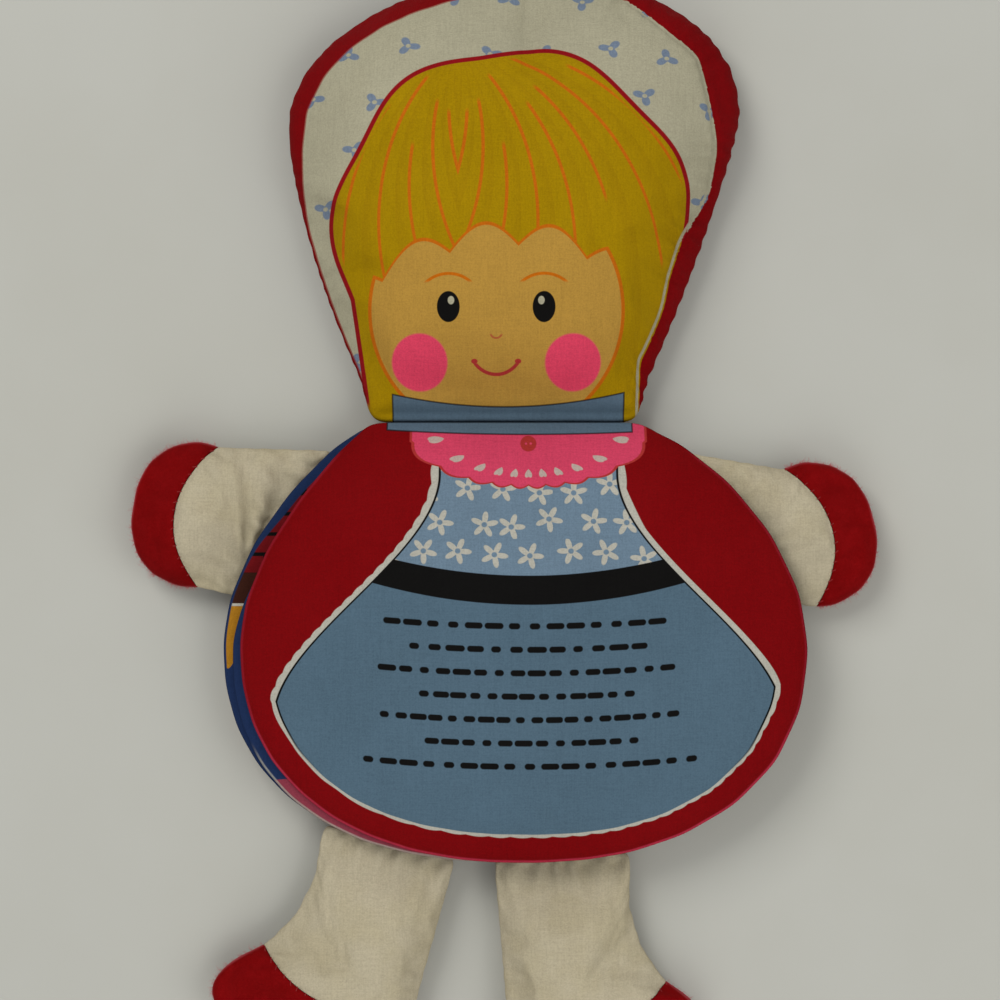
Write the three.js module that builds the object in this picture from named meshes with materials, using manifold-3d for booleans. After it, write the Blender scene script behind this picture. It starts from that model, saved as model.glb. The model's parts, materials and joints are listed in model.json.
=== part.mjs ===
// A stuffed cloth storybook doll that lies on its back, face up.
// Its skirt is a fan of three padded cloth pages, sewn to the body in one seam at the neck.
// Millimetres. +Z is up, +Y runs from the feet to the head, and the doll's own left is at +X.

import * as THREE from "three";
import { mergeVertices } from "three/addons/utils/BufferGeometryUtils.js";
import Module from "manifold-3d";

const manifold = await Module();
manifold.setup();

// Cloth, seams and clearances
const clothThickness = 1.0;
const pageClothThickness = 0.75;
const seamAllowance = 1.5;
const layerGap = 0.3;
const seamHeight = 9.2;
const restDepth = 0.5;
const slantAllowance = 1.2;
const swellFullness = 2.6;
const swellRoundness = 0.7;

// Neck seam, which joins the head, the body and the pages
const neckWidth = 102;
const headNeckGap = 0.3;
const bodyNeckGap = 0.35;
const pageNeckGap = 0.65;

// Head with its hood
const headWidth = 173;
const headHeight = 171;
const hoodCrownRise = 56;
const headNeckRise = 9;
const headLean = 12;
const headFrontRise = 33.5;
const headNeckShare = 0.55;
const headNeckLength = 40;
const headCentreHeight = 92;
const headLeanPower = 3;
const headSteps = 30;
const cheekFullness = 0.45;

// Body cushion under the pages
const bodyWidth = 200;
const bodyLength = 161;
const bodySway = -8;
const bodyFrontRise = 7.85;
const bodyWidestDepth = 84;
const bodyCentreX = 2;
const flankDepths = [0, 28, 52];
const shoulderRoundness = 0.8;
const hemRoundness = 2.25;

// Padded pages, the first one on top
const pageWidth = 212;
const pageLength = 164;
const waddingThickness = 2.4;
const pageCount = 3;
const pageNeckPitch = 2.2;
const pageRimShare = 0.45;
const pageStackGap = 0.5;
const pageFans = [7.5, 6.3, 0.8];
const pageSways = [0, -7, -1];
const fanSettleDepth = 12;
const rimLiftDepth = 30;

// Arms with felt hands
const armSeamTopDepth = 10;
const armSeamBottomDepth = 66;
const cuffWidth = 54;
const cuffBulge = 12;
const handDepth = 17;
const handFlare = 1.5;
const armFrontRise = 12.5;
const handRoundness = 0.8;
const armRootLength = 33;
const cuffReach = bodyWidth / 2 + 12;
const armSides = [
  { name: "right", side: -1, cuffDrop: 35, cuffTilt: 8.5 },
  { name: "left", side: 1, cuffDrop: 43, cuffTilt: 13 },
];

// Legs with felt shoes
const legRootWidth = 52;
const ankleWidth = 49;
const ankleDepth = 20;
const ankleFlare = 4;
const ankleFlareDepth = 16;
const legCuffDepth = 54;
const legCuffWidth = 61;
const legCuffRise = 4;
const legCuffTilt = 10;
const legCuffBulge = 9;
const heelInset = 2;
const heelRound = 5;
const toeReach = 54;
const toeRound = 7;
const shoeDepth = 20;
const soleBulge = 3;
const legFrontRise = 11.5;
const legRootLength = 26;
const legSides = [
  { name: "right", side: -1, rootShare: -0.215, hemInset: 4.5, turn: 13.5 },
  { name: "left", side: 1, rootShare: 0.11, hemInset: -1.2, turn: 2.75 },
];

// Limb seams, shared by arms and legs
const limbSeamGap = 0.65;
const limbRootShare = 0.15;
const cutterSpread = 0.6;
const cutterReach = 120;
const rimTop = seamHeight + layerGap / 2 + clothThickness;
const rimBottom = seamHeight - layerGap / 2 - clothThickness;

const swollenShares = [0.64, 0.36, 0.16, 0.05];
const limbShares = [0.64, 0.32, 0.1];
const pageShares = [0.62, 0.33, 0.1];

const v2 = (x, y) => new THREE.Vector2(x, y);
const radians = THREE.MathUtils.degToRad;

// The swell of a stuffed form, from 0 at its seam to 1 at its middle
const swell = (share) => (1 - (1 - share) ** swellFullness) ** swellRoundness;

// A run of points along a formula, from one parameter value to another
function run(from, to, steps, point) {
  return Array.from({ length: steps + 1 }, (_, i) => point(from + ((to - from) * i) / steps));
}

// Closed solid lofted through rings of equal count, closed by a point at each end.
// The first end faces up, and the rings run anticlockwise seen from above. Each band is split
// along the same diagonals, so that one surface laid over another keeps its distance.
function loft(firstPole, rings, lastPole) {
  const count = rings[0].length;
  const positions = [firstPole, ...rings.flat(), lastPole].flatMap((p) => [p.x, p.y, p.z]);
  const spread = rings.map((points) => Math.hypot(points[0].x - firstPole.x, points[0].y - firstPole.y));
  const at = (ring, i) => 1 + ring * count + (i % count);
  const last = 1 + rings.length * count;
  const index = [];
  for (let i = 0; i < count; i++) {
    index.push(0, at(0, i), at(0, i + 1));
    for (let r = 0; r + 1 < rings.length; r++) {
      const [a, b, c, d] = [at(r, i), at(r + 1, i), at(r + 1, i + 1), at(r, i + 1)];
      const outward = spread[r + 1] >= spread[r];
      if (outward) index.push(a, b, c, a, c, d);
      else index.push(a, b, d, b, c, d);
    }
    index.push(at(rings.length - 1, i + 1), at(rings.length - 1, i), last);
  }
  const geometry = new THREE.BufferGeometry();
  geometry.setAttribute("position", new THREE.Float32BufferAttribute(positions, 3));
  geometry.setIndex(index);
  return geometry;
}

// Distance from a centre to an outline in one direction
function reach(outline, centre, direction) {
  let best = 0;
  for (let i = 0; i < outline.length; i++) {
    const a = outline[i].clone().sub(centre);
    const edge = outline[(i + 1) % outline.length].clone().sub(centre).sub(a);
    const turn = direction.x * edge.y - direction.y * edge.x;
    if (Math.abs(turn) < 1e-9) continue;
    const along = (a.x * edge.y - a.y * edge.x) / turn;
    const share = (a.x * direction.y - a.y * direction.x) / turn;
    if (along > 0 && share >= -1e-9 && share <= 1 + 1e-9) best = Math.max(best, along);
  }
  return best;
}

const directionsOf = (points, centre) => points.map((p) => p.clone().sub(centre).normalize());

// A flat pattern piece: its outline seen from a centre in a fixed set of directions
function patternPiece(outline, centre, directions) {
  const radii = directions.map((d) => reach(outline, centre, d));
  return { outline, centre, directions, radii };
}

// One ring of a pattern piece, drawn in from the edge by a length and then by a share
function ring(piece, inset, share, height) {
  return piece.directions.map((d, i) => {
    const r = (piece.radii[i] - inset) * (1 - share);
    const x = piece.centre.x + d.x * r;
    const y = piece.centre.y + d.y * r;
    return new THREE.Vector3(x, y, height(x, y, share));
  });
}

const pole = (piece, height) =>
  new THREE.Vector3(piece.centre.x, piece.centre.y, height(piece.centre.x, piece.centre.y, 1));

// A stuffed form: a front and a back cloth sewn round the edge, and the stuffing between them
function stuffedForm(piece, shares, frontRise, taper = () => 1) {
  const inward = [...shares].reverse();
  const front = (x, y, t) => rimTop + frontRise * swell(t) * taper(x, y);
  const back = (x, y, t) => Math.max(0, rimBottom - (rimBottom + restDepth) * swell(t) * taper(x, y));
  const below = (surface, depth) => (x, y, t) => surface(x, y, t) - depth;
  const lining = clothThickness * slantAllowance;
  const packed = (clothThickness + layerGap) * slantAllowance;
  const seamFront = () => seamHeight + layerGap / 2;
  const seamBack = () => seamHeight - layerGap / 2;
  const frontInside = below(front, clothThickness);
  const backInside = below(back, -clothThickness);
  const fillTop = below(front, clothThickness + layerGap);
  const fillBottom = below(back, -clothThickness - layerGap);
  return {
    front: loft(
      pole(piece, front),
      [
        ...shares.map((t) => ring(piece, 0, t, front)),
        ring(piece, 0, 0, () => rimTop),
        ring(piece, 0, 0, seamFront),
        ring(piece, seamAllowance, 0, seamFront),
        ...inward.map((t) => ring(piece, lining, t, frontInside)),
      ],
      pole(piece, frontInside),
    ),
    back: loft(
      pole(piece, backInside),
      [
        ...shares.map((t) => ring(piece, lining, t, backInside)),
        ring(piece, seamAllowance, 0, seamBack),
        ring(piece, 0, 0, seamBack),
        ring(piece, 0, 0, () => rimBottom),
        ...inward.map((t) => ring(piece, 0, t, back)),
      ],
      pole(piece, back),
    ),
    stuffing: loft(
      pole(piece, fillTop),
      [
        ...shares.map((t) => ring(piece, packed, t, fillTop)),
        ring(piece, seamAllowance + layerGap, 0.02, () => seamHeight),
        ...inward.map((t) => ring(piece, packed, t, fillBottom)),
      ],
      pole(piece, fillBottom),
    ),
  };
}

// Booleans on closed meshes
function toSolid(geometry) {
  const bare = geometry.clone();
  for (const name of ["normal", "uv"]) bare.deleteAttribute(name);
  const merged = mergeVertices(bare, 1e-4);
  return new manifold.Manifold(
    new manifold.Mesh({
      numProp: 3,
      vertProperties: new Float32Array(merged.attributes.position.array),
      triVerts: new Uint32Array(merged.index.array),
    }),
  );
}

function fromSolid(solid) {
  const mesh = solid.getMesh();
  const geometry = new THREE.BufferGeometry();
  geometry.setAttribute("position", new THREE.BufferAttribute(mesh.vertProperties, 3));
  geometry.setIndex(new THREE.BufferAttribute(mesh.triVerts, 1));
  return geometry;
}

// Half width of the bell that body and pages share, at a depth below the neck seam
function bellHalfWidth(depth, width, length) {
  const half = width / 2;
  if (depth <= bodyWidestDepth) {
    const share = Math.max(0, depth / bodyWidestDepth);
    return neckWidth / 2 + (half - neckWidth / 2) * Math.sin((share * Math.PI) / 2) ** shoulderRoundness;
  }
  const share = Math.min(1, (depth - bodyWidestDepth) / (length - bodyWidestDepth));
  return half * (1 - share ** hemRoundness) ** (1 / hemRoundness);
}

// Head outline, anticlockwise from the left end of the neck seam
function headOutline() {
  const widest = headHeight - hoodCrownRise;
  const cheek = (share) => (1 + cheekFullness) * share - cheekFullness * share * share;
  const lowerSide = run(0, 1, 10, (u) => {
    const half = neckWidth / 2 + ((headWidth - neckWidth) / 2) * cheek(u);
    return v2(half, headNeckRise + (widest - headNeckRise) * u);
  });
  const crown = run(0, Math.PI / 2, 10, (a) =>
    v2((headWidth / 2) * Math.cos(a), widest + hoodCrownRise * Math.sin(a)),
  );
  const right = [v2(neckWidth / 2, headNeckGap), ...lowerSide, ...crown.slice(1)];
  const left = right.slice(0, -1).reverse().map((p) => v2(-p.x, p.y));
  const lean = (p) => v2(p.x + headLean * (p.y / headHeight) ** headLeanPower, p.y);
  return [...right, ...left].map(lean);
}

// Head: its directions are spread along the outline, with the neck corners kept
function headPiece() {
  const outline = headOutline();
  const centre = v2(headLean * 0.2, headCentreHeight);
  const path = new THREE.CurvePath();
  for (let i = 0; i + 1 < outline.length; i++) {
    path.add(new THREE.LineCurve(outline[i], outline[i + 1]));
  }
  const round = path.getSpacedPoints(headSteps);
  const neck = run(-0.5, 0.5, 5, (u) => v2(neckWidth * u, headNeckGap)).slice(1, -1);
  return patternPiece(outline, centre, directionsOf([...round, ...neck], centre));
}

function bodyEdge(side, depth) {
  const sway = bodySway * (depth / bodyLength) ** 2;
  return v2(side * bellHalfWidth(depth, bodyWidth, bodyLength) + sway, -depth);
}

// Where a limb is sewn into the body's side: the two ends of the straight seam
const armSeam = (side) => [bodyEdge(side, armSeamTopDepth), bodyEdge(side, armSeamBottomDepth)];

const legRoot = ({ rootShare, hemInset }) => v2(rootShare * bodyWidth, hemInset - bodyLength);

function legSeam(leg) {
  const { side, turn } = leg;
  const along = v2(1, 0).rotateAround(v2(0, 0), side * radians(turn)).multiplyScalar(legRootWidth / 2);
  const middle = legRoot(leg);
  const ends = [middle.clone().add(along), middle.clone().sub(along)];
  return side > 0 ? ends : ends.reverse();
}

// Body outline, anticlockwise from the left end of the neck seam, with straight limb seams
function bodyStretches() {
  const half = (side) => {
    const [top, bottom] = armSeam(side);
    const leg = legSeam(legSides.find((l) => l.side === side));
    const flank = flankDepths.map((beyond) => bodyEdge(side, bodyWidestDepth + beyond));
    return { top, bottom, leg, flank };
  };
  const line = (a, b, steps) => run(0, 1, steps, (u) => a.clone().lerp(b, u)).slice(0, -1);
  const curve = (points, steps) => new THREE.SplineCurve(points).getSpacedPoints(steps).slice(0, -1);
  const right = half(1);
  const left = half(-1);
  const neckLeft = v2(-neckWidth / 2, -bodyNeckGap);
  const neckRight = v2(neckWidth / 2, -bodyNeckGap);
  return [
    line(neckLeft, left.top, 1),
    line(left.top, left.bottom, 3),
    curve([left.bottom, ...left.flank, left.leg[0]], 6),
    line(left.leg[0], left.leg[1], 3),
    line(left.leg[1], right.leg[1], 1),
    line(right.leg[1], right.leg[0], 3),
    curve([right.leg[0], ...[...right.flank].reverse(), right.bottom], 6),
    line(right.bottom, right.top, 3),
    line(right.top, neckRight, 1),
    line(neckRight, neckLeft, 5),
  ];
}

const bodyCentre = v2(bodyCentreX, -bodyWidestDepth);
const bodyOutline = bodyStretches().flat();
const bodyDirections = directionsOf(bodyOutline, bodyCentre);
const bodyPiece = patternPiece(bodyOutline, bodyCentre, bodyDirections);

// Page outline: the bell, fanned and swayed sideways like a loose page
function pageOutline(fan, sway) {
  const middle = (depth) =>
    fan * (1 - Math.exp(-depth / fanSettleDepth)) + sway * (depth / pageLength) ** 2;
  const edge = (side) => (depth) =>
    v2(middle(depth) + side * bellHalfWidth(depth, pageWidth, pageLength), -depth);
  const hem = (side) => (angle) => {
    const depth = bodyWidestDepth + (pageLength - bodyWidestDepth) * Math.sin(angle);
    return edge(side)(depth);
  };
  const side = (s) => [
    v2((s * neckWidth) / 2, -pageNeckGap),
    ...run(4, bodyWidestDepth, 14, edge(s)),
    ...run(0, Math.PI / 2, 14, hem(s)).slice(1),
  ];
  return [...side(-1), ...side(1).slice(0, -1).reverse()];
}

const referencePage = patternPiece(pageOutline(pageFans[0], pageSways[0]), bodyCentre, bodyDirections);

// The dome that body and pages share, and the lift of the page edges away from the neck
function domeAt(x, y) {
  const offset = v2(x, y).sub(bodyCentre);
  const distance = offset.length();
  if (distance < 1e-6) return 1;
  const rim = reach(referencePage.outline, bodyCentre, offset.clone().normalize());
  return swell(Math.max(0, 1 - distance / rim));
}

function stackShare(x, y) {
  const lift = THREE.MathUtils.smoothstep(-y, 0, rimLiftDepth);
  return 1 - (1 - domeAt(x, y)) * (1 - pageRimShare * lift);
}

// Heights of page 1 on top to page 3 below it
const pageMiddle = 2 * pageClothThickness + waddingThickness + 2 * layerGap;
const pageEdge = 2 * pageClothThickness + layerGap;

function pageBase(number) {
  const level = pageCount - number;
  const neck = rimTop + layerGap + level * pageNeckPitch;
  const middle = rimTop + bodyFrontRise + layerGap + level * (pageMiddle + pageStackGap);
  return { neck, rise: middle - neck };
}

function pageSolids(number) {
  const outline = pageOutline(pageFans[number - 1], pageSways[number - 1]);
  const piece = patternPiece(outline, bodyCentre, bodyDirections);
  const { neck, rise } = pageBase(number);
  const padRise = waddingThickness + layerGap;
  const under = (x, y) => neck + rise * stackShare(x, y);
  const backTop = (x, y) => under(x, y) + pageClothThickness;
  const padBottom = (x, y) => backTop(x, y) + layerGap;
  const padTop = (x, y, t) => backTop(x, y) + padRise * swell(t);
  const frontUnder = (x, y, t) => padTop(x, y, t) + layerGap;
  const frontTop = (x, y, t) => frontUnder(x, y, t) + pageClothThickness;
  const inward = [...pageShares].reverse();
  const sheet = (top, bottom) =>
    loft(
      pole(piece, top),
      [
        ...pageShares.map((t) => ring(piece, 0, t, top)),
        ring(piece, 0, 0, top),
        ring(piece, 0, 0, bottom),
        ...inward.map((t) => ring(piece, 0, t, bottom)),
      ],
      pole(piece, bottom),
    );
  const wadding = loft(
    pole(piece, padTop),
    [
      ...pageShares.map((t) => ring(piece, 0, t, padTop)),
      ...inward.map((t) => ring(piece, 0, t, padBottom)),
    ],
    pole(piece, padBottom),
  );
  return { front: sheet(frontTop, frontUnder), back: sheet(backTop, under), wadding };
}

// The line that parts a limb's cloth from its felt end: an arc between the cuff's two corners
function cuffArc(a, b, bulge, shift) {
  const chord = b.clone().sub(a);
  const out = v2(chord.y, -chord.x).normalize();
  return run(0, 1, 10, (u) => {
    const rise = bulge * (1 - (2 * u - 1) ** 2) + shift;
    return a.clone().addScaledVector(chord, u).addScaledVector(out, rise);
  });
}

// Cuts a limb's sewn cloth at the cuff into a cloth part and a felt part with a gap between
function splitAtCuff(geometry, a, b, bulge) {
  const chord = b.clone().sub(a);
  const out = v2(chord.y, -chord.x).normalize();
  const spread = chord.clone().multiplyScalar(cutterSpread);
  const cutter = (shift) => {
    const arc = cuffArc(a, b, bulge, shift);
    const wideA = a.clone().sub(spread).addScaledVector(out, shift);
    const wideB = b.clone().add(spread).addScaledVector(out, shift);
    const points = [wideA, ...arc, wideB, wideB.clone().addScaledVector(out, cutterReach)];
    points.push(wideA.clone().addScaledVector(out, cutterReach));
    const depth = 2 * (headFrontRise + rimTop);
    const block = new THREE.ExtrudeGeometry(new THREE.Shape(points), { depth, bevelEnabled: false });
    return toSolid(block.translate(0, 0, -depth / 2));
  };
  const limb = toSolid(geometry);
  return {
    cloth: fromSolid(limb.subtract(cutter(-layerGap / 2))),
    felt: fromSolid(limb.intersect(cutter(layerGap / 2))),
  };
}

// Moves a seam's ends away from the body, so that the sewn edge can turn beside it
function clearOfBody([start, end], gap) {
  const along = end.clone().sub(start).normalize();
  const out = v2(-along.y, along.x);
  if (out.dot(start.clone().add(end).multiplyScalar(0.5).sub(bodyCentre)) < 0) out.negate();
  return [start.clone().addScaledVector(out, gap), end.clone().addScaledVector(out, gap)];
}

// Arm outline: sewn edge, sleeve and the round felt hand
function armShape({ side, cuffDrop, cuffTilt }) {
  const [rootTop, rootBottom] = clearOfBody(armSeam(side), limbSeamGap);
  const axis = v2(side, 0).rotateAround(v2(0, 0), side * radians(cuffTilt));
  const across = v2(-axis.y, axis.x).multiplyScalar(side);
  const middle = v2(side * cuffReach, -cuffDrop);
  const point = (out, up) => middle.clone().addScaledVector(axis, out).addScaledVector(across, up);
  const depth = cuffBulge + handDepth;
  const halfHand = cuffWidth / 2 + handFlare;
  const hand = run(-Math.PI / 2, Math.PI / 2, 16, (a) => {
    const round = (value) => Math.sign(value) * Math.abs(value) ** handRoundness;
    return point(depth * round(Math.cos(a)), halfHand * round(Math.sin(a)));
  }).slice(1, -1);
  const cuffBottom = point(0, -cuffWidth / 2);
  const cuffTop = point(0, cuffWidth / 2);
  const outline = [rootTop, rootBottom, cuffBottom, ...hand, cuffTop];
  const centre = rootTop.clone().add(rootBottom).multiplyScalar(0.25).addScaledVector(point(depth * 0.4, 0), 0.5);
  const rootLine = [rootTop, rootBottom];
  const marks = [
    ...run(0, 1, 4, (u) => rootTop.clone().lerp(rootBottom, u)).slice(0, -1),
    ...run(0, 1, 3, (u) => rootBottom.clone().lerp(cuffBottom, u)).slice(0, -1),
    cuffBottom,
    ...hand.filter((_, i) => i % 2 === 0),
    cuffTop,
    ...run(0, 1, 4, (u) => cuffTop.clone().lerp(rootTop, u)).slice(1, -1),
  ];
  const cuff = [cuffBottom, cuffTop];
  if (side < 0) {
    marks.reverse();
    cuff.reverse();
  }
  return { outline, centre, marks, rootLine, cuff };
}

// Leg outline in its own frame: the sewn edge on y = 0, the toe towards the doll's outside
function legShape(leg) {
  const { side, turn } = leg;
  const half = legRootWidth / 2;
  const heelX = -half + heelInset;
  const cuffOut = v2(heelX + legCuffWidth, legCuffRise - legCuffDepth);
  const cuffIn = v2(heelX, cuffOut.y - legCuffWidth * Math.tan(radians(legCuffTilt)));
  const soleDepth = legCuffDepth + legCuffBulge + shoeDepth + soleBulge;
  const outerSide = new THREE.SplineCurve([
    v2(half, 0),
    v2(ankleWidth / 2, -ankleDepth),
    v2(ankleWidth / 2 + ankleFlare, -ankleDepth - ankleFlareDepth),
    cuffOut,
  ]).getPoints(9);
  const shoe = new THREE.SplineCurve([
    cuffOut,
    v2(toeReach - toeRound + 1, cuffOut.y - shoeDepth * 0.45),
    v2(toeReach, cuffOut.y - shoeDepth),
    v2(toeReach - toeRound - 1, -soleDepth + toeRound - 1),
    v2(toeReach * 0.5, -soleDepth + 1),
    v2(0, -soleDepth),
    v2(heelX + heelRound, -soleDepth + heelRound),
    v2(heelX - 1, cuffIn.y - shoeDepth * 0.4),
    cuffIn,
  ]).getPoints(24);
  const outer = [v2(-half, 0), ...outerSide.slice(0, -1), ...shoe];
  const middle = legRoot(leg);
  const place = (p) =>
    v2(side * p.x, p.y).rotateAround(v2(0, 0), side * radians(turn)).add(middle);
  const order = (points) => (side > 0 ? [...points].reverse() : points);
  const [first, second] = clearOfBody(legSeam(leg), limbSeamGap);
  const drop = first.clone().add(second).multiplyScalar(0.5).sub(middle);
  const shift = (p) => place(p).add(drop);
  const outline = order(outer).map(shift);
  const centre = shift(v2(soleBulge, legCuffRise - legCuffDepth));
  const marks = [
    ...order([
      ...run(-0.5, 0.5, 4, (u) => v2(legRootWidth * u, 0)),
      ...outerSide.filter((_, i) => i % 3 === 0).slice(1, -1),
      ...shoe.filter((_, i) => i % 2 === 0),
      v2(heelX, cuffIn.y * 0.66),
      v2(-half + 1, cuffIn.y * 0.33),
    ]).map(shift),
  ];
  const cuff = side > 0 ? [cuffIn, cuffOut] : [cuffOut, cuffIn];
  return { outline, centre, marks, rootLine: [first, second], cuff: cuff.map(shift) };
}

// Distance of a point from a limb's sewn edge
function fromRoot([start, end], x, y) {
  const along = end.clone().sub(start).normalize();
  return Math.abs(along.x * (y - start.y) - along.y * (x - start.x));
}

function limbSolids(shape, frontRise, rootLength, bulge) {
  const piece = patternPiece(shape.outline, shape.centre, directionsOf(shape.marks, shape.centre));
  const taper = (x, y) =>
    limbRootShare +
    (1 - limbRootShare) * THREE.MathUtils.smoothstep(fromRoot(shape.rootLine, x, y), 0, rootLength);
  const { front, back, stuffing } = stuffedForm(piece, limbShares, frontRise, taper);
  const [a, b] = shape.cuff;
  return {
    front: splitAtCuff(front, a, b, bulge),
    back: splitAtCuff(back, a, b, bulge),
    stuffing,
  };
}

const doll = new THREE.Group();
const material = (color, roughness = 0.9) =>
  new THREE.MeshStandardMaterial({ color, roughness, metalness: 0 });
const materials = {
  hood: material("#8a0f14"),
  print: material("#c9a23a"),
  pages: material("#5c7688"),
  night: material("#24324f"),
  brick: material("#7a2420"),
  pageBack: material("#b9805a"),
  muslin: material("#c9bfa2"),
  felt: material("#860008", 0.97),
  stuffing: material("#efece2", 1),
};

function add(name, geometry, finish) {
  const mesh = new THREE.Mesh(geometry, finish);
  mesh.name = name;
  doll.add(mesh);
}

const headTaper = (x, y) =>
  headNeckShare + (1 - headNeckShare) * THREE.MathUtils.smoothstep(y, 0, headNeckLength);
const head = stuffedForm(headPiece(), swollenShares, headFrontRise, headTaper);
add("head_front_cloth", head.front, materials.print);
add("head_back_cloth", head.back, materials.hood);
add("head_stuffing", head.stuffing, materials.stuffing);

const body = stuffedForm(bodyPiece, swollenShares, bodyFrontRise);
add("body_front_cloth", body.front, materials.pageBack);
add("body_back_cloth", body.back, materials.hood);
add("body_stuffing", body.stuffing, materials.stuffing);

const pageFronts = [materials.pages, materials.night, materials.brick];
for (let number = 1; number <= pageCount; number++) {
  const page = pageSolids(number);
  add(`page_${number}_front_cloth`, page.front, pageFronts[number - 1]);
  add(`page_${number}_wadding`, page.wadding, materials.stuffing);
  add(`page_${number}_back_cloth`, page.back, materials.pageBack);
}

for (const arm of armSides) {
  const solids = limbSolids(armShape(arm), armFrontRise, armRootLength, cuffBulge);
  add(`${arm.name}_sleeve_front`, solids.front.cloth, materials.muslin);
  add(`${arm.name}_sleeve_back`, solids.back.cloth, materials.muslin);
  add(`${arm.name}_arm_stuffing`, solids.stuffing, materials.stuffing);
  add(`${arm.name}_hand_front_felt`, solids.front.felt, materials.felt);
  add(`${arm.name}_hand_back_felt`, solids.back.felt, materials.felt);
}

for (const leg of legSides) {
  const solids = limbSolids(legShape(leg), legFrontRise, legRootLength, legCuffBulge);
  add(`${leg.name}_leg_front_cloth`, solids.front.cloth, materials.muslin);
  add(`${leg.name}_leg_back_cloth`, solids.back.cloth, materials.muslin);
  add(`${leg.name}_leg_stuffing`, solids.stuffing, materials.stuffing);
  add(`${leg.name}_shoe_front_felt`, solids.front.felt, materials.felt);
  add(`${leg.name}_shoe_back_felt`, solids.back.felt, materials.felt);
}

// The origin is at the middle of the doll's box, on the surface that it lies on
const box = new THREE.Box3().setFromObject(doll);
const middle = box.getCenter(new THREE.Vector3());
doll.position.set(-middle.x, -middle.y, -box.min.z);

export default doll;
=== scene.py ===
"""Looks of a stuffed cloth storybook doll, laid out as a Blender add-on and run as a script.

The doll lies on its back. Its head, body, arms and legs are sewn forms that are puffed up
with the cloth simulation, and its skirt is a fan of three padded pages that turn at the neck.
Every print is drawn in shader nodes, in millimetres over the doll as it lies.
"""

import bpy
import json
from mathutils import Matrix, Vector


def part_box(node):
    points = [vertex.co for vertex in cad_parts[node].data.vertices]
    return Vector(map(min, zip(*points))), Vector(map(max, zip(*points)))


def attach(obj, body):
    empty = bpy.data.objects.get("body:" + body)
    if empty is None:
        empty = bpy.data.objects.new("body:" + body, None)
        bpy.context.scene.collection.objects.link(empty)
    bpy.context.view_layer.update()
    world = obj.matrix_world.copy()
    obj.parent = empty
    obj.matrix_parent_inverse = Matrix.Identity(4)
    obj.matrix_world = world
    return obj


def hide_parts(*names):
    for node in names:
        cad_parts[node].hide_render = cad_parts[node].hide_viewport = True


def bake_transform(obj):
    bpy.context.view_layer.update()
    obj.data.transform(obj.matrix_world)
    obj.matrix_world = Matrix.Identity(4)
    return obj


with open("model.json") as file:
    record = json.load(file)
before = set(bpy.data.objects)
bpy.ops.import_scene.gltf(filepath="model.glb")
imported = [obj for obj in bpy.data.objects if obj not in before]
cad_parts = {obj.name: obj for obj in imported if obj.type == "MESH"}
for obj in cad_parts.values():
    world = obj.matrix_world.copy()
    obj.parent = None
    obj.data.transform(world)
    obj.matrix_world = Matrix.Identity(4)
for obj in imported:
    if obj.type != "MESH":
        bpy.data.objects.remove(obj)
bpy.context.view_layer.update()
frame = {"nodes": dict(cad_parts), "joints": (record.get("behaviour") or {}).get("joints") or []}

import json
import math

import bmesh
import bpy
import numpy as np
from bpy.props import FloatProperty, FloatVectorProperty, IntProperty, PointerProperty
from mathutils import Vector
from mathutils.bvhtree import BVHTree

bl_info = {
    "name": "Storybook doll",
    "version": (1, 0, 0),
    "blender": (4, 5, 0),
    "location": "3D View > Sidebar > Doll",
    "description": "Builds a stuffed cloth doll whose skirt is a fan of padded pages",
    "category": "Mesh",
}

MM = 0.001
SEAM_HEIGHT = 9.2 * MM
RIM_HALF = 1.15 * MM
PAGE_COUNT = 3
PAGE_CLOTH = 0.75 * MM
PAGE_MIDDLE = 4.5 * MM
PAGE_RIM_SHARE = 0.45
PAGE_LIFT_DEPTH = 30 * MM
TUCK = 1.9 * MM
NECK_RISE = 3 * MM
NECK_RUN = 5 * MM
NECK_REACH = 0.8 * MM
NECK_BEND = 7 * MM
LIMB_BEND = 10 * MM
FLOOR_REST = 0.5 * MM
CLOTH_GAP = 0.1 * MM
PUFF_FRAMES = 20
BODY_CENTRE = np.array([1.9, -45.1]) * MM
HEAD_CENTRE = np.array([2.3, 130.9]) * MM
ANGLE_STEPS = 720
HEADINGS = np.arange(ANGLE_STEPS) / ANGLE_STEPS * 2 * np.pi
SIDES = ("right", "left")
# How high each form is stuffed, as a share of the height of its CAD solids
FULLNESS = {"head": 0.93, "body": 0.96, "limb": 0.95}
# Farthest that the stuffing moves the cloth of the flatter forms
BODY_PUFF = 1.5 * MM
LIMB_PUFF = 2.2 * MM
# Where each random unevenness starts. A form's folds and lumps count on from its own number.
SEEDS = {"armpit": 5, "head": 11, "wrap": 21, "head lumps": 31, "body": 41, "page": 50, "page lumps": 61}
LIMB_SEEDS = {"right_arm": 70, "left_arm": 80, "right_leg": 90, "left_leg": 100}


def linear(code):
    """The linear values that Blender's shaders use for a colour code such as #7a0408."""
    parts = [int(code[i : i + 2], 16) / 255 for i in (1, 3, 5)]
    return tuple(c / 12.92 if c <= 0.04045 else ((c + 0.055) / 1.055) ** 2.4 for c in parts)


# Sizes and colours that a user would change

def length(label, description, default):
    return FloatProperty(name=label, description=description, default=default, unit="LENGTH", min=0)


def share(label, description, default):
    return FloatProperty(name=label, description=description, default=default, subtype="FACTOR", min=0, max=1)


def tint(label, description, code):
    return FloatVectorProperty(
        name=label, description=description, default=linear(code), subtype="COLOR", size=3, min=0, max=1
    )


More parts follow.
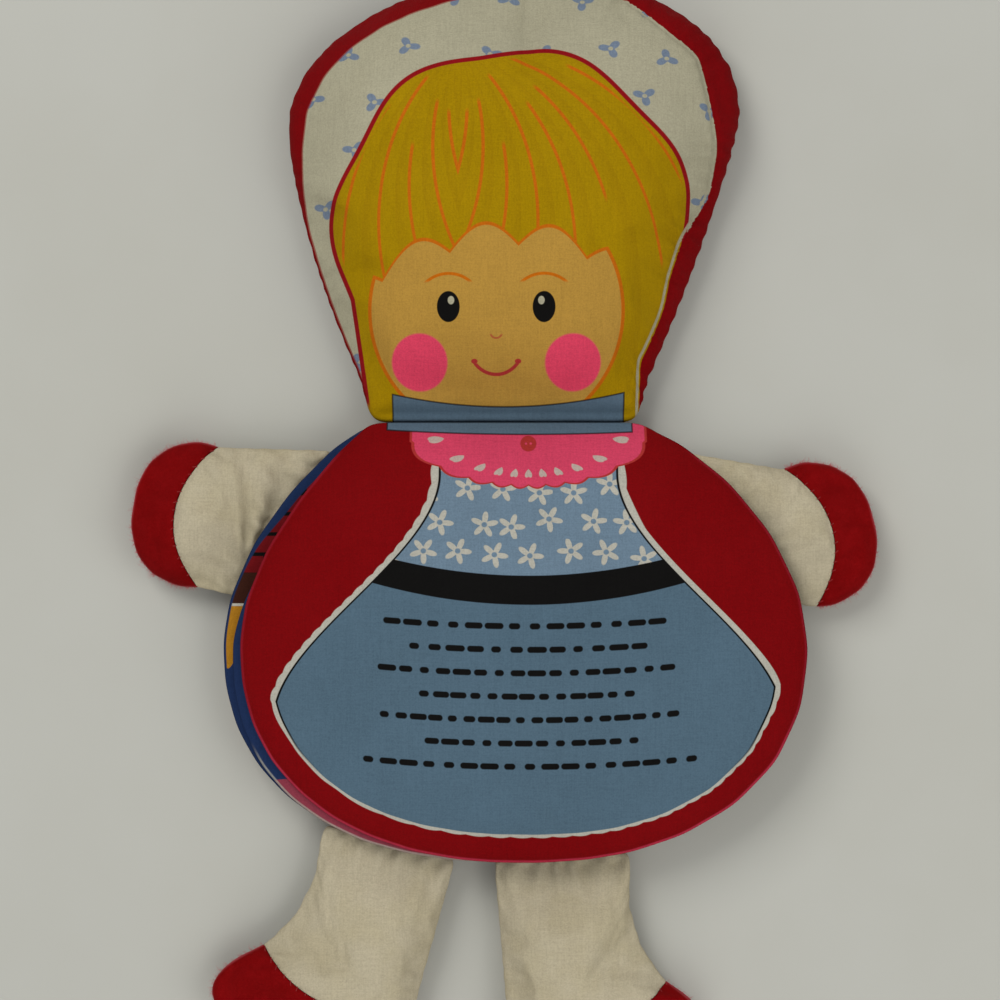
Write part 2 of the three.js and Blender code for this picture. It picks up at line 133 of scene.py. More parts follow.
class DollSewing(bpy.types.PropertyGroup):
    """How the doll is sewn and stuffed."""

    seam_pinch: length("Seam pinch", "How far the seam is drawn in between the two cloths", 0.9 * MM)
    pucker_depth: length("Pucker depth", "Height of the small folds beside a seam", 0.75 * MM)
    pucker_length: length("Pucker length", "How far the small folds run in from a seam", 11 * MM)
    lump_height: length("Lump height", "Unevenness of the stuffing", 0.8 * MM)
    spare_cloth: share("Spare cloth", "How much larger the cloth is than the form it covers", 0.05)
    pressure: FloatProperty(name="Stuffing pressure", description="Push of the stuffing", default=4, min=0)
    puff_limit: length("Puff limit", "Farthest that the stuffing may move the cloth", 3.5 * MM)
    rows: IntProperty(name="Cloth rows", description="Rows of cloth in a puffed form", default=52, min=16)


class DollColours(bpy.types.PropertyGroup):
    """Colours of the cloths, the prints and the felt."""

    red: tint("Red cotton", "Hood, page borders and the doll's back", "#7a0408")
    hood_white: tint("Hood lining", "Band round the hair", "#aba58b")
    sprig: tint("Sprig blue", "Small sprigs on the hood lining", "#5d7391")
    hood_line: tint("Hood line", "Wavy line inside the lining", "#8c1016")
    hair: tint("Hair", "Ground colour of the hair", "#a38102")
    strand: tint("Strand", "Lines drawn in the hair", "#c0640c")
    skin: tint("Face", "Face of the doll", "#b58b3c")
    # The cheek colour also paints the highlight on the first page's turned edge, a painted highlight where
    # light grazes it
    cheek: tint("Cheek", "Round cheeks and the rubbed edge of the first page", "#e04461")
    lip: tint("Lip", "Mouth and nose lines", "#a8322f")
    ink: tint("Dark ink", "Outlines, eyes and waistband", "#100f0e")
    collar: tint("Collar", "Strips on both sides of the neck seam", "#566a79")
    panel: tint("Apron", "Large field on the first page", "#526978")
    bodice: tint("Bodice", "Flowered field on the first page", "#6b8090")
    flower: tint("Flower", "Flowers and white edging", "#b4b0a2")
    yoke: tint("Yoke", "Scalloped collar on the first page", "#d04260")
    night: tint("Night blue", "Ground of the second page and foot of the third", "#1e2f52")
    brick: tint("Brick", "Bricks on the third page", "#6e1216")
    bark: tint("Brown", "Band on the third page", "#3a1d14")
    mustard: tint("Mustard", "Backs of the pages and a band on the third", "#a8741e")
    muslin: tint("Muslin", "Cloth of the arms and legs", "#baaf94")
    felt: tint("Felt", "Hands and shoes", "#6b0001")
    thread: tint("Thread", "Hand stitches", "#8a1a1c")
    fibre: tint("Loose wool", "Fibres that stand off the felt", "#b84a52")


def sewing():
    return bpy.context.scene.doll_sewing


def colours():
    return bpy.context.scene.doll_colours


# Outlines and heights, read from the frame

def edges_of(*nodes):
    """The edges of CAD nodes seen from above, as pairs of ends."""
    found = []
    for name in nodes:
        mesh = frame["nodes"][name].data
        place = np.array([v.co[:2] for v in mesh.vertices])
        found.append(place[np.array([e.vertices[:] for e in mesh.edges])])
    return np.concatenate(found)


class Outline:
    """A sewn outline seen from its centre: how far it reaches in each direction."""

    def __init__(self, nodes, centre, rounding=3.0):
        self.centre = np.array(centre, float)
        ends = edges_of(*nodes)
        start = ends[:, 0] - self.centre
        run = ends[:, 1] - ends[:, 0]
        ray = np.stack([np.cos(HEADINGS), np.sin(HEADINGS)], 1)
        turn = ray[:, None, 0] * run[None, :, 1] - ray[:, None, 1] * run[None, :, 0]
        turn[np.abs(turn) < 1e-12] = 1e-12
        along = (start[:, 0] * run[:, 1] - start[:, 1] * run[:, 0])[None] / turn
        part = (start[None, :, 0] * ray[:, None, 1] - start[None, :, 1] * ray[:, None, 0]) / turn
        hit = (part >= -1e-6) & (part <= 1 + 1e-6) & (along > 0) & (along < 1)
        self.reach = smooth_ring(np.where(hit, along, 0).max(1), rounding)

    def at(self, angle):
        steps = np.mod(angle / (2 * np.pi) * ANGLE_STEPS, ANGLE_STEPS)
        low = np.floor(steps).astype(int) % ANGLE_STEPS
        part = steps - np.floor(steps)
        return self.reach[low] * (1 - part) + self.reach[(low + 1) % ANGLE_STEPS] * part

    def place(self, angle, share=1.0):
        """The place at a heading, at that share of the way out to the outline."""
        reach = self.at(angle) * share
        return self.centre[0] + reach * np.cos(angle), self.centre[1] + reach * np.sin(angle)

    def seen(self, x, y):
        """Heading and distance from the centre."""
        dx, dy = x - self.centre[0], y - self.centre[1]
        return np.arctan2(dy, dx), np.hypot(dx, dy)

    def inward(self, x, y):
        """0 on the outline and 1 at its centre."""
        angle, away = self.seen(x, y)
        return np.clip(1 - away / self.at(angle), 0, 1)

    def depth(self, x, y):
        """Distance in from the outline, measured towards the centre."""
        angle, away = self.seen(x, y)
        return np.maximum(self.at(angle) - away, 0)

    def along(self, angle):
        """Distance round the outline up to a heading, for folds that repeat along a seam."""
        turns = np.append(HEADINGS, 2 * np.pi)
        reach = np.append(self.reach, self.reach[0])
        points = np.stack([np.cos(turns) * reach, np.sin(turns) * reach], 1)
        steps = np.hypot(*np.diff(points, axis=0).T)
        return np.interp(np.mod(angle, 2 * np.pi), turns, np.concatenate([[0], np.cumsum(steps)]))


def smooth_ring(values, degrees):
    """Values round a circle, smoothed over so many degrees."""
    spread = degrees / 360 * ANGLE_STEPS
    reach = int(spread * 3) + 1
    offsets = np.arange(-reach, reach + 1)
    weights = np.exp(-0.5 * (offsets / spread) ** 2)
    weights /= weights.sum()
    return sum(w * np.roll(values, o) for o, w in zip(offsets, weights))


def swell(part):
    """Height of a stuffed form, from 0 at its seam to 1 at its middle."""
    return (1 - (1 - part) ** 2.6) ** 0.7


def eased(value, low, high):
    """Rises smoothly from 0 at low to 1 at high."""
    t = np.clip((value - low) / (high - low), 0, 1)
    return t * t * (3 - 2 * t)


def lower_of(a, b, soft):
    """The lower of two heights, with a rounded change from one to the other."""
    gap = np.clip((a - b) / soft, -40, 40)
    return np.where(gap > 20, b, a - soft * np.log1p(np.exp(gap)))


def lumps(x, y, size, seed):
    """Soft unevenness of about that size, between -1 and 1."""
    draw = np.random.default_rng(seed)
    total = np.zeros_like(x)
    count = 14
    for _ in range(count):
        angle = draw.uniform(0, 2 * np.pi)
        pitch = 2 * np.pi / (size * draw.uniform(0.7, 1.7))
        total += np.sin(pitch * (x * np.cos(angle) + y * np.sin(angle)) + draw.uniform(0, 2 * np.pi))
    return total / math.sqrt(count) / 1.6


# Sewn meshes

FRONT, BACK = 0, 1


def linked(name, data):
    """A new object in the scene."""
    piece = bpy.data.objects.new(name, data)
    bpy.context.scene.collection.objects.link(piece)
    return piece


def laid_out(outline, rows):
    """Places of a square grid that is bent into a disc and stretched to an outline."""
    u, v = np.meshgrid(np.linspace(-1, 1, rows + 1), np.linspace(-1, 1, rows + 1), indexing="ij")
    wide = np.abs(u) >= np.abs(v)
    with np.errstate(divide="ignore", invalid="ignore"):
        turn = np.where(wide, np.pi / 4 * (v / u), np.pi / 2 - np.pi / 4 * (u / v))
    turn = np.nan_to_num(turn)
    radius = np.where(wide, u, v)
    u, v = radius * np.cos(turn), radius * np.sin(turn)
    x, y = outline.place(np.arctan2(v, u), np.hypot(u, v))
    return x.ravel(), y.ravel()


def rim_walk(rows):
    """Indices of a grid's edge, anticlockwise."""
    at = lambda i, j: i * (rows + 1) + j
    low = [at(i, 0) for i in range(rows)]
    right = [at(rows, j) for j in range(rows)]
    high = [at(i, rows) for i in range(rows, 0, -1)]
    left = [at(0, j) for j in range(rows, 0, -1)]
    return low + right + high + left


def closed_form(name, x, y, top, bottom, rows, middle, spread, height, layered=False):
    """Closed mesh of two cloths over one grid, joined by strips along an edge between them.

    The edge lies at a height and is spread out from the middle. A layered form marks its faces as
    front or back.
    """
    rim, count = rim_walk(rows), len(x)
    out = np.stack([x[rim], y[rim]], 1) - middle
    out /= np.linalg.norm(out, axis=1)[:, None]
    height = height + np.zeros(len(rim))
    edge = np.stack([x[rim] + out[:, 0] * spread, y[rim] + out[:, 1] * spread, height], 1)
    places = np.concatenate([np.stack([x, y, top], 1), np.stack([x, y, bottom], 1), edge])
    faces = []
    for i in range(rows):
        for j in range(rows):
            a, b = i * (rows + 1) + j, (i + 1) * (rows + 1) + j
            faces += [(a, b, b + 1, a + 1), (count + a, count + a + 1, count + b + 1, count + b)]
    for k in range(len(rim)):
        m = (k + 1) % len(rim)
        a, b, s, t = rim[k], rim[m], 2 * count + k, 2 * count + m
        faces += [(a, s, t, b), (s, count + a, count + b, t)]
    mesh = bpy.data.meshes.new(name)
    mesh.from_pydata(places.tolist(), [], faces)
    if layered:
        mesh.polygons.foreach_set("material_index", [FRONT, BACK] * (len(faces) // 2))
    mesh.polygons.foreach_set("use_smooth", [True] * len(faces))
    return linked(name, mesh)


def sewn_form(name, outline, rows, top, bottom, pinch):
    """Closed form of a front and a back cloth. The seam between them is drawn in by the pinch."""
    x, y = laid_out(outline, rows)
    surfaces = top(x, y), bottom(x, y)
    piece = closed_form(name, x, y, *surfaces, rows, outline.centre, -pinch, SEAM_HEIGHT, layered=True)
    rim, count = rim_walk(rows), len(x)
    piece["rim"] = [2 * count + k for k in range(len(rim))] + rim + [count + k for k in rim]
    piece["corners"] = [0, rows, count - 1 - rows, count - 1]
    return piece


def places_of(piece, key="co"):
    found = np.empty(len(piece.data.vertices) * 3)
    piece.data.vertices.foreach_get(key, found)
    return found.reshape(-1, 3)


def put_places(piece, places):
    piece.data.vertices.foreach_set("co", np.asarray(places, float).ravel())
    piece.data.update()


def pick(piece):
    """Makes one piece the only selected and active one."""
    bpy.ops.object.select_all(action="DESELECT")
    piece.select_set(True)
    bpy.context.view_layer.objects.active = piece


def puff_up(piece, limit, calm=None, spare=1.0):
    """Stuffs a sewn form: its cloth is a little large, its seam is held, and pressure fills it.

    calm(x, y) gives the share of the swelling that a place keeps, and spare scales the spare cloth.
    """
    own = sewing()
    rest = places_of(piece)
    held = piece.vertex_groups.new(name="seam")
    held.add([int(i) for i in piece["rim"]], 1.0, "REPLACE")
    pick(piece)
    cloth = piece.modifiers.new("Stuffing", "CLOTH")
    cloth.settings.vertex_group_mass = held.name
    cloth.settings.use_pressure = True
    cloth.settings.uniform_pressure_force = own.pressure
    cloth.settings.shrink_min = -own.spare_cloth * spare
    cloth.settings.effector_weights.gravity = 0
    cloth.settings.quality = 5
    cloth.collision_settings.use_collision = False
    cloth.point_cache.frame_start = 1
    cloth.point_cache.frame_end = PUFF_FRAMES
    for step in range(1, PUFF_FRAMES + 1):
        bpy.context.scene.frame_set(step)
    bpy.ops.object.modifier_apply(modifier=cloth.name)
    bpy.context.scene.frame_set(1)
    moved = places_of(piece) - rest
    size = np.linalg.norm(moved, axis=1)
    moved *= (np.minimum(size, limit) / np.maximum(size, 1e-9))[:, None]
    if calm:
        moved *= calm(rest[:, 0], rest[:, 1])[:, None]
    put_places(piece, rest + moved)
    piece.vertex_groups.clear()


def subdivide(piece):
    corners = places_of(piece)[list(piece["corners"])]
    pick(piece)
    finer = piece.modifiers.new("Finer cloth", "SUBSURF")
    finer.levels = finer.render_levels = 1
    finer.boundary_smooth = "PRESERVE_CORNERS"
    bpy.ops.object.modifier_apply(modifier=finer.name)
    ease_corners(piece, corners)


def ease_corners(piece, corners, reach=7 * MM):
    """Smooths the cloth round the four places where the grid's corners meet the rim."""
    places = places_of(piece)
    gap = np.min([np.linalg.norm(places - corner, axis=1) for corner in corners], axis=0)
    near = piece.vertex_groups.new(name="corners")
    for i in np.flatnonzero(gap < reach):
        near.add([int(i)], float(1 - gap[i] / reach), "REPLACE")
    pick(piece)
    smooth = piece.modifiers.new("Ease corners", "SMOOTH")
    smooth.factor = 0.5
    smooth.iterations = 14
    smooth.vertex_group = near.name
    bpy.ops.object.modifier_apply(modifier=smooth.name)
    piece.vertex_groups.clear()


def raise_cloth(piece, heights):
    """Moves the cloth along its own normals."""
    piece.data.update()
    put_places(piece, places_of(piece) + places_of(piece, "normal") * heights[:, None])


def strands(name, paths, radius, taper):
    """Thin closed threads, one along each path of points, as one mesh."""
    curve = bpy.data.curves.new(name, "CURVE")
    curve.dimensions = "3D"
    curve.bevel_depth = radius
    curve.bevel_resolution = 0
    curve.use_fill_caps = True
    for path in paths:
        line = curve.splines.new("POLY")
        line.points.add(len(path) - 1)
        for point, place, part in zip(line.points, path, np.linspace(0, 1, len(path))):
            point.co = (*place, 1)
            point.radius = 1 - taper * part
    pick(linked(name, curve))
    bpy.ops.object.convert(target="MESH")
    piece = bpy.context.object
    bpy.ops.object.mode_set(mode="EDIT")
    bpy.ops.mesh.select_all(action="SELECT")
    bpy.ops.mesh.remove_doubles(threshold=0.000001)
    bpy.ops.mesh.normals_make_consistent(inside=False)
    bpy.ops.object.mode_set(mode="OBJECT")
    return piece


def cut_piece(form, name, take_away, put_back=None):
    """A part of a sewn form as its own piece, closed with a flat cap where take_away(cut) opened it."""
    mesh = form.data.copy()
    mesh.name = name
    cut = bmesh.new()
    cut.from_mesh(mesh)
    take_away(cut)
    cap = bmesh.ops.contextual_create(cut, geom=[e for e in cut.edges if e.is_boundary])["faces"]
    for face in cap:
        face.smooth = False
    if put_back:
        bmesh.ops.triangulate(cut, faces=cap)
        put_back(cut)
    for face in cut.faces:
        face.material_index = 0
    bmesh.ops.recalc_face_normals(cut, faces=cut.faces)
    cut.to_mesh(mesh)
    cut.free()
    return linked(name, mesh)


def half_of(form, name, layer):
    """The front or the back cloth of a sewn form, with its stuffing."""

    def take_away(cut):
        bmesh.ops.delete(cut, geom=[f for f in cut.faces if f.material_index != layer], context="FACES")

    return cut_piece(form, name, take_away)


def drop(piece):
    bpy.data.objects.remove(piece)


def dress(piece, material, body, slot, nodes, fill=None, bend=None):
    """Gives a finished piece its material and the body it rides on, and hides the CAD nodes it stands for.

    When bend is given, the piece's transform is baked into its mesh instead and it rides on no body; the
    places in bend are not used.
    """
    place = piece.data.attributes.new("Place", "FLOAT_VECTOR", "POINT")
    place.data.foreach_set("vector", places_of(piece).ravel().astype(np.float32))
    piece.data.materials.clear()
    piece.data.materials.append(bpy.data.materials[material])
    if bend:
        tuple(bend[0])
        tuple(bend[1])
        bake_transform(piece)
    else:
        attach(piece, body)
    if nodes:
        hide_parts(*nodes)


# Values over the cloth, written in Math nodes

def feed(tree, socket, value):
    """Links a field or another node's socket, or sets a constant."""
    value = getattr(value, "socket", value)
    if isinstance(value, bpy.types.NodeSocket):
        tree.links.new(value, socket)
    else:
        socket.default_value = value


class Field:
    """A value that varies over a cloth. Its operators and methods each add the node they name."""

    def __init__(self, tree, socket):
        self.tree = tree
        self.socket = socket

    def node(self, operation, *others, clamp=False):
        made = self.tree.nodes.new("ShaderNodeMath")
        made.operation = operation
        made.use_clamp = clamp
        for socket, value in zip(made.inputs, (self, *others)):
            feed(self.tree, socket, value)
        return Field(self.tree, made.outputs[0])

    def __neg__(self):
        return self * -1

    def __rsub__(self, other):
        return -self + other

    def over(self, low, high):
        """Rises smoothly from 0 at low to 1 at high."""
        made = self.tree.nodes.new("ShaderNodeMapRange")
        made.interpolation_type = "SMOOTHSTEP"
        for label, value in (("Value", self), ("From Min", low), ("From Max", high)):
            feed(self.tree, made.inputs[label], value)
        return Field(self.tree, made.outputs["Result"])

    def inside(self, soft=0.14):
        """1 where this distance is negative."""
        return 1 - self.over(-soft, soft)

    def line(self, width, soft=0.14):
        """1 on a line of that width along the places where this distance is 0."""
        return (self.abs() - width / 2).inside(soft)


def math_method(operation):
    return lambda field, *others: field.node(operation, *others)


for method, operation in {
    "__add__": "ADD",
    "__radd__": "ADD",
    "__sub__": "SUBTRACT",
    "__mul__": "MULTIPLY",
    "__truediv__": "DIVIDE",
    "abs": "ABSOLUTE",
    "sin": "SINE",
    "cos": "COSINE",
    "sign": "SIGN",
    "root": "SQRT",
    "floor": "FLOOR",
    "fract": "FRACT",
    "min": "MINIMUM",
    "max": "MAXIMUM",
    "angle_to": "ARCTAN2",
}.items():
    setattr(Field, method, math_method(operation))


def hypot(x, y):
    return (x * x + y * y).root()


def ellipse(x, y, cx, cy, rx, ry):
    """About the distance from an ellipse's edge, below 0 inside it."""
    return (hypot((x - cx) / rx, (y - cy) / ry) - 1) * ((rx + ry) / 2)


def ink(colour):
    """Linear values of one of the doll's colours by its name, or of a colour code or values as they are."""
    if not isinstance(colour, str):
        return colour
    return linear(colour) if colour.startswith("#") else tuple(getattr(colours(), colour))


class Print:
    """The colours of one cloth, painted in order over a ground."""

    def __init__(self, tree, ground):
        self.tree = tree
        self.ground = (*ink(ground), 1)

    def paint(self, colour, mask, blend="MIX"):
        """Mixes in a colour, fully where the mask is 1."""
        mix = self.tree.nodes.new("ShaderNodeMix")
        mix.data_type = "RGBA"
        mix.blend_type = blend
        for socket, value in zip((mix.inputs[0], *mix.inputs[6:8]), (mask, self.ground, (*ink(colour), 1))):
            feed(self.tree, socket, value)
        self.ground = mix.outputs[2]
        return self


def split(tree, place):
    """The x, y and z of a place as fields."""
    made = tree.nodes.new("ShaderNodeSeparateXYZ")
    tree.links.new(place, made.inputs[0])
    return [Field(tree, socket) for socket in made.outputs]


def carried(tree, name, output="Fac"):
    """What the mesh itself carries: a distance in millimetres as a field, or a place as a socket."""
    made = tree.nodes.new("ShaderNodeAttribute")
    made.attribute_name = name
    found = made.outputs[output]
    return Field(tree, found) if output == "Fac" else found


def cloth_place(tree):
    """The place on the cloth as it was sewn, which the mesh carries so that prints bend with it."""
    return carried(tree, "Place", "Vector")


def own_place(tree):
    """The place on the cloth in millimetres, as three fields."""
    return [part * 1000 for part in split(tree, cloth_place(tree))]


def mapped(tree, place, scale, location=(0, 0, 0)):
    """A place that is scaled and moved."""
    made = tree.nodes.new("ShaderNodeMapping")
    for label, value in (("Vector", place), ("Scale", scale), ("Location", location)):
        feed(tree, made.inputs[label], value)
    return made.outputs["Vector"]


def noise(tree, place, scale, detail=2.0, roughness=0.5, distortion=0.0):
    made = tree.nodes.new("ShaderNodeTexNoise")
    for label, value in (
        ("Vector", place),
        ("Scale", scale),
        ("Detail", detail),
        ("Roughness", roughness),
        ("Distortion", distortion),
    ):
        feed(tree, made.inputs[label], value)
    return Field(tree, made.outputs["Fac"])


# Effects that several cloths share

def effect(name, takes, gives):
    """Starts a node group: its tree, its place, its float inputs as fields and its output sockets."""
    tree = bpy.data.node_groups.new(name, "ShaderNodeTree")
    tree.interface.new_socket("Place", in_out="INPUT", socket_type="NodeSocketVector")
    for label, value in takes.items():
        made = tree.interface.new_socket(label, in_out="INPUT", socket_type="NodeSocketFloat")
        made.default_value = value
    for label in gives:
        tree.interface.new_socket(label, in_out="OUTPUT", socket_type="NodeSocketFloat")
    start, end = tree.nodes.new("NodeGroupInput"), tree.nodes.new("NodeGroupOutput")
    return tree, start.outputs["Place"], [Field(tree, start.outputs[label]) for label in takes], end.inputs


def weave_effect():
    """Crossed threads of a plain cotton, with slubs that run along them."""
    takes = {"Threads per metre": 2300, "Slub": 0.5}
    tree, place, (threads, slubs), gives = effect("Plain weave", takes, ["Height", "Shade"])
    x, y, z = split(tree, place)
    pitch = threads * math.pi
    wobble = noise(tree, place, 260) * 1.6
    across = (x * pitch + wobble).sin().abs()
    down = ((y + z) * pitch + wobble).sin().abs()
    long_way, short_way = 110, 1900
    streaks = [
        noise(tree, mapped(tree, place, stretch), 1.0, 1.0)
        for stretch in ((long_way, short_way, short_way), (short_way, long_way, long_way))
    ]
    grit = noise(tree, place, 1500, 2.0, 0.7) - 0.5
    slub = ((streaks[0] + streaks[1] - 1) * 0.34 + grit) * slubs
    feed(tree, gives["Height"], across * 0.5 + down * 0.5 + slub)
    feed(tree, gives["Shade"], 0.5 + slub)


def wear_effect():
    """Soft blotches where a washed cloth is paler or darker, and faint soiling."""
    tree, place, (size, soil), gives = effect("Washed wear", {"Size": 28, "Soil": 0.5}, ["Fade", "Soil"])
    specks = noise(tree, place, 420, 3.0, 0.6).over(0.66, 0.74)
    spots = noise(tree, place, 34, 3.0, 0.65).over(0.58, 0.78)
    feed(tree, gives["Fade"], noise(tree, place, size, 4.0, 0.6).over(0.3, 0.72))
    feed(tree, gives["Soil"], ((specks * 0.5 + spots * 0.6) * soil).min(1.0))


def nap_effect():
    """Matted fibres of wool felt."""
    tree, place, (fibre,), gives = effect("Felt nap", {"Fibre": 900}, ["Height", "Shade"])
    swirl = noise(tree, place, fibre, 5.0, 0.65, 1.4)
    mat = noise(tree, place, 130, 3.0, 0.6)
    feed(tree, gives["Height"], swirl * 0.7 + mat * 0.6)
    feed(tree, gives["Shade"], swirl.over(0.3, 0.7) * 0.6 + mat.over(0.35, 0.65) * 0.4)


def flowers_effect():
    """Small five-petalled flowers set in staggered rows, each a little turned and moved."""
    takes = {"Spacing": 13.0, "Petal": 4.6, "Petals": 5.0}
    tree, place, (spacing, petal, petals), gives = effect("Scattered flowers", takes, ["Petals", "Eye"])
    x, y = (part / spacing for part in split(tree, place)[:2])
    row = y.floor()
    x = x + (row * 0.5).fract()
    column = x.floor()
    chance = ((row * 12.9898 + column * 78.233).sin() * 43.5453).fract()
    other = ((row * 39.346 + column * 11.135).sin() * 23.4531).fract()
    lx = (x.fract() - 0.5 - (chance - 0.5) * 0.3) * spacing
    ly = (y.fract() - 0.5 - (other - 0.5) * 0.3) * spacing
    radius = hypot(lx, ly)
    turn = ly.angle_to(lx) * petals + chance * 6.28
    edge = petal * (0.66 + turn.cos() * 0.34)
    feed(tree, gives["Petals"], ((radius - edge) * 0.7).inside(0.2))
    feed(tree, gives["Eye"], (radius - petal * 0.2).inside(0.2))


def with_effect(tree, name, place=None, **values):
    """Places a shared effect in a material and returns its outputs as fields."""
    made = tree.nodes.new("ShaderNodeGroup")
    made.node_tree = bpy.data.node_groups[name]
    feed(tree, made.inputs["Place"], place or cloth_place(tree))
    for label, value in values.items():
        feed(tree, made.inputs[label], value)
    return {o.name: Field(tree, o) for o in made.outputs}


def placed_flowers(tree, spacing, petal, petals=5.0, shift=(0.0, 0.0), squeeze=1.0):
    """The petals and the eyes of the shared flowers over the cloth, in millimetres, with their own start."""
    place = mapped(tree, cloth_place(tree), (1000 * squeeze, 1000, 1000), (*shift, 0))
    found = with_effect(tree, "Scattered flowers", place, Spacing=spacing, Petal=petal, Petals=petals)
    return found["Petals"], found["Eye"]


def new_material(name, roughness, sheen):
    material = bpy.data.materials.new(name)
    material.use_nodes = True
    shader = material.node_tree.nodes["Principled BSDF"]
    shader.inputs["Roughness"].default_value = roughness
    shader.inputs["Specular IOR Level"].default_value = 0.06
    shader.inputs["Sheen Weight"].default_value = sheen
    shader.inputs["Sheen Roughness"].default_value = 0.5
    return material.node_tree, shader


def finish(tree, shader, sheet, height, strength, distance, roughness=None):
    """Gives a material its print, the relief of its surface and, where it varies, its roughness."""
    feed(tree, shader.inputs["Base Color"], sheet.ground)
    if roughness:
        feed(tree, shader.inputs["Roughness"], roughness)
    bump = tree.nodes.new("ShaderNodeBump")
    for label, value in (("Strength", strength), ("Distance", distance), ("Height", height)):
        feed(tree, bump.inputs[label], value)
    feed(tree, shader.inputs["Normal"], bump.outputs["Normal"])


# What fading, soiling and the gaps between the threads multiply a cotton's colour by
FADED = (0.8, 0.79, 0.78)
SOILED = (0.72, 0.66, 0.56)
BETWEEN_THREADS = (0.6, 0.6, 0.61)


def cotton(name, draw, wear=0.35, soil=0.4):
    """A printed or plain cotton. draw(tree, x, y, z) returns its Print."""
    tree, shader = new_material(name, 0.9, 0.0)
    printed = draw(tree, *own_place(tree))
    weave = with_effect(tree, "Plain weave", Slub=0.55)
    worn = with_effect(tree, "Washed wear", Size=26.0, Soil=soil)
    gaps = (0.6 - weave["Shade"]).node("MULTIPLY", 2.2, clamp=True)
    for colour, mask in (
        (FADED, worn["Fade"] * wear),
        (SOILED, worn["Soil"] * soil),
        (BETWEEN_THREADS, gaps),
    ):
        printed.paint(colour, mask, "MULTIPLY")
    finish(tree, shader, printed, weave["Height"], 0.6, 0.16 * MM, 0.84 + worn["Fade"] * 0.1)


# Prints. Millimetres over the doll as it lies, seen from above.

FACE_MIDDLE = -3.0
DRESS_MIDDLE = 9.0
YOKE_SCALLOPS = 11


def draw_head(tree, x, y, z):
    """Hood with a white lining, yellow hair and a plain doll's face."""
    inset, wrap = carried(tree, "Inset"), carried(tree, "Wrap")
    across = x - FACE_MIDDLE
    sheet = Print(tree, "hood_white")
    # Three-leaved sprigs, scattered over the lining
    sprigs, buds = placed_flowers(tree, 19.0, 3.7, 3.0, (7.0, 4.0), 0.8)
    sheet.paint("sprig", sprigs * 0.8)
    sheet.paint("hood_white", buds)
    # Hair: a scalloped cap over the crown that runs down beside the face
    around = (y - 108).angle_to(x - 3)
    crown = ellipse(x, y, 3, 109, 66, 67) + (around * 7 + 0.6).cos() * 1.9
    locks = (x.abs() - (y - 38) * 0.13 - 50.5).max(y - 101)
    hair = crown.min(locks)
    sheet.paint("hair", hair.inside())
    # Strands sweep from a parting off the middle to both sides, each with its own length
    away, down = (x + 17).abs(), 178 - y
    reach = hypot(away, down)
    sweep = (away.angle_to(down) + reach * 0.0062) * 5.2
    strand = sweep.floor()
    begins = (strand * 2.4 + 1).sin() * 13 + 27
    ends = (strand * 1.7 + x.sign()).sin() * 24 + 104
    drawn = (reach - begins).over(0, 3) * (ends - reach).over(0, 4)
    line = ((sweep.fract() - 0.5) * reach / 5.2).line(1.25)
    sheet.paint("#8f6a04", (sweep.fract() - 0.5).over(0.0, 0.5) * 0.22 * hair.inside())
    sheet.paint("strand", line * drawn * (hair + 2.2).inside(0.8))
    # Face under a fringe of broad locks
    tips = ((across * 0.125 + 0.55).cos()).abs() * 8
    fringe = tips + 104 - across * across * 0.0058 + across * 0.05
    face = ellipse(x, y, FACE_MIDDLE, 80, 47, 46).max(y - fringe)
    sheet.paint("skin", face.inside())
    sheet.paint("strand", face.line(1.3))
    sheet.paint("hood_line", hair.line(1.7) * (y - 44).over(0, 4))
    # Cheeks, eyes, brows, nose and mouth
    sheet.paint("cheek", ellipse(across.abs(), y, 28.5, 61.5, 10.4, 10.4).inside(0.5))
    sheet.paint("ink", ellipse(across.abs(), y, 17.6, 81.5, 4.2, 5.6).inside())
    sheet.paint("hood_white", ellipse(across.abs(), y, 16.6, 83.8, 1.2, 1.5).inside())
    brow = hypot(across.abs() - 17.6, y - 81) - 12.5
    sheet.paint("strand", brow.line(1.1) * (y - 90).over(0, 1.2))
    nose = hypot(across, y - 72.4) - 2.2
    sheet.paint("lip", nose.line(0.7) * (72.0 - y).over(0, 0.8) * 0.7)
    smile = hypot(across, y - 67) - 9.8
    sheet.paint("lip", smile.line(1.3) * (61.8 - y).over(0, 1.0))
    sheet.paint("lip", ellipse(across.abs(), y, 8.1, 61.9, 1.2, 0.9).inside())
    # Collar under the chin
    collar = (y - 45.5 - x * x * 0.0026).max((x - 1.5).abs() - 43.5)
    sheet.paint("collar", collar.inside())
    sheet.paint("ink", collar.line(0.6) * 0.8)
    # Red border, wide over the crown and narrow beside the face
    beside = (y - 46).over(0, 3)
    width = (y - 108).over(0, 62) * 7.4 + 1.5
    border = inset - width + (x - 10).over(0, 60) * (y - 150).over(0, 40) * 3
    sheet.paint("hood_line", border.line(1.0) * 0.7 * beside)
    sheet.paint("red", border.inside() * beside)
    sheet.paint("hood_white", (wrap + 1.1).line(1.0) * 0.9)
    sheet.paint("red", (-wrap).inside())
    return sheet


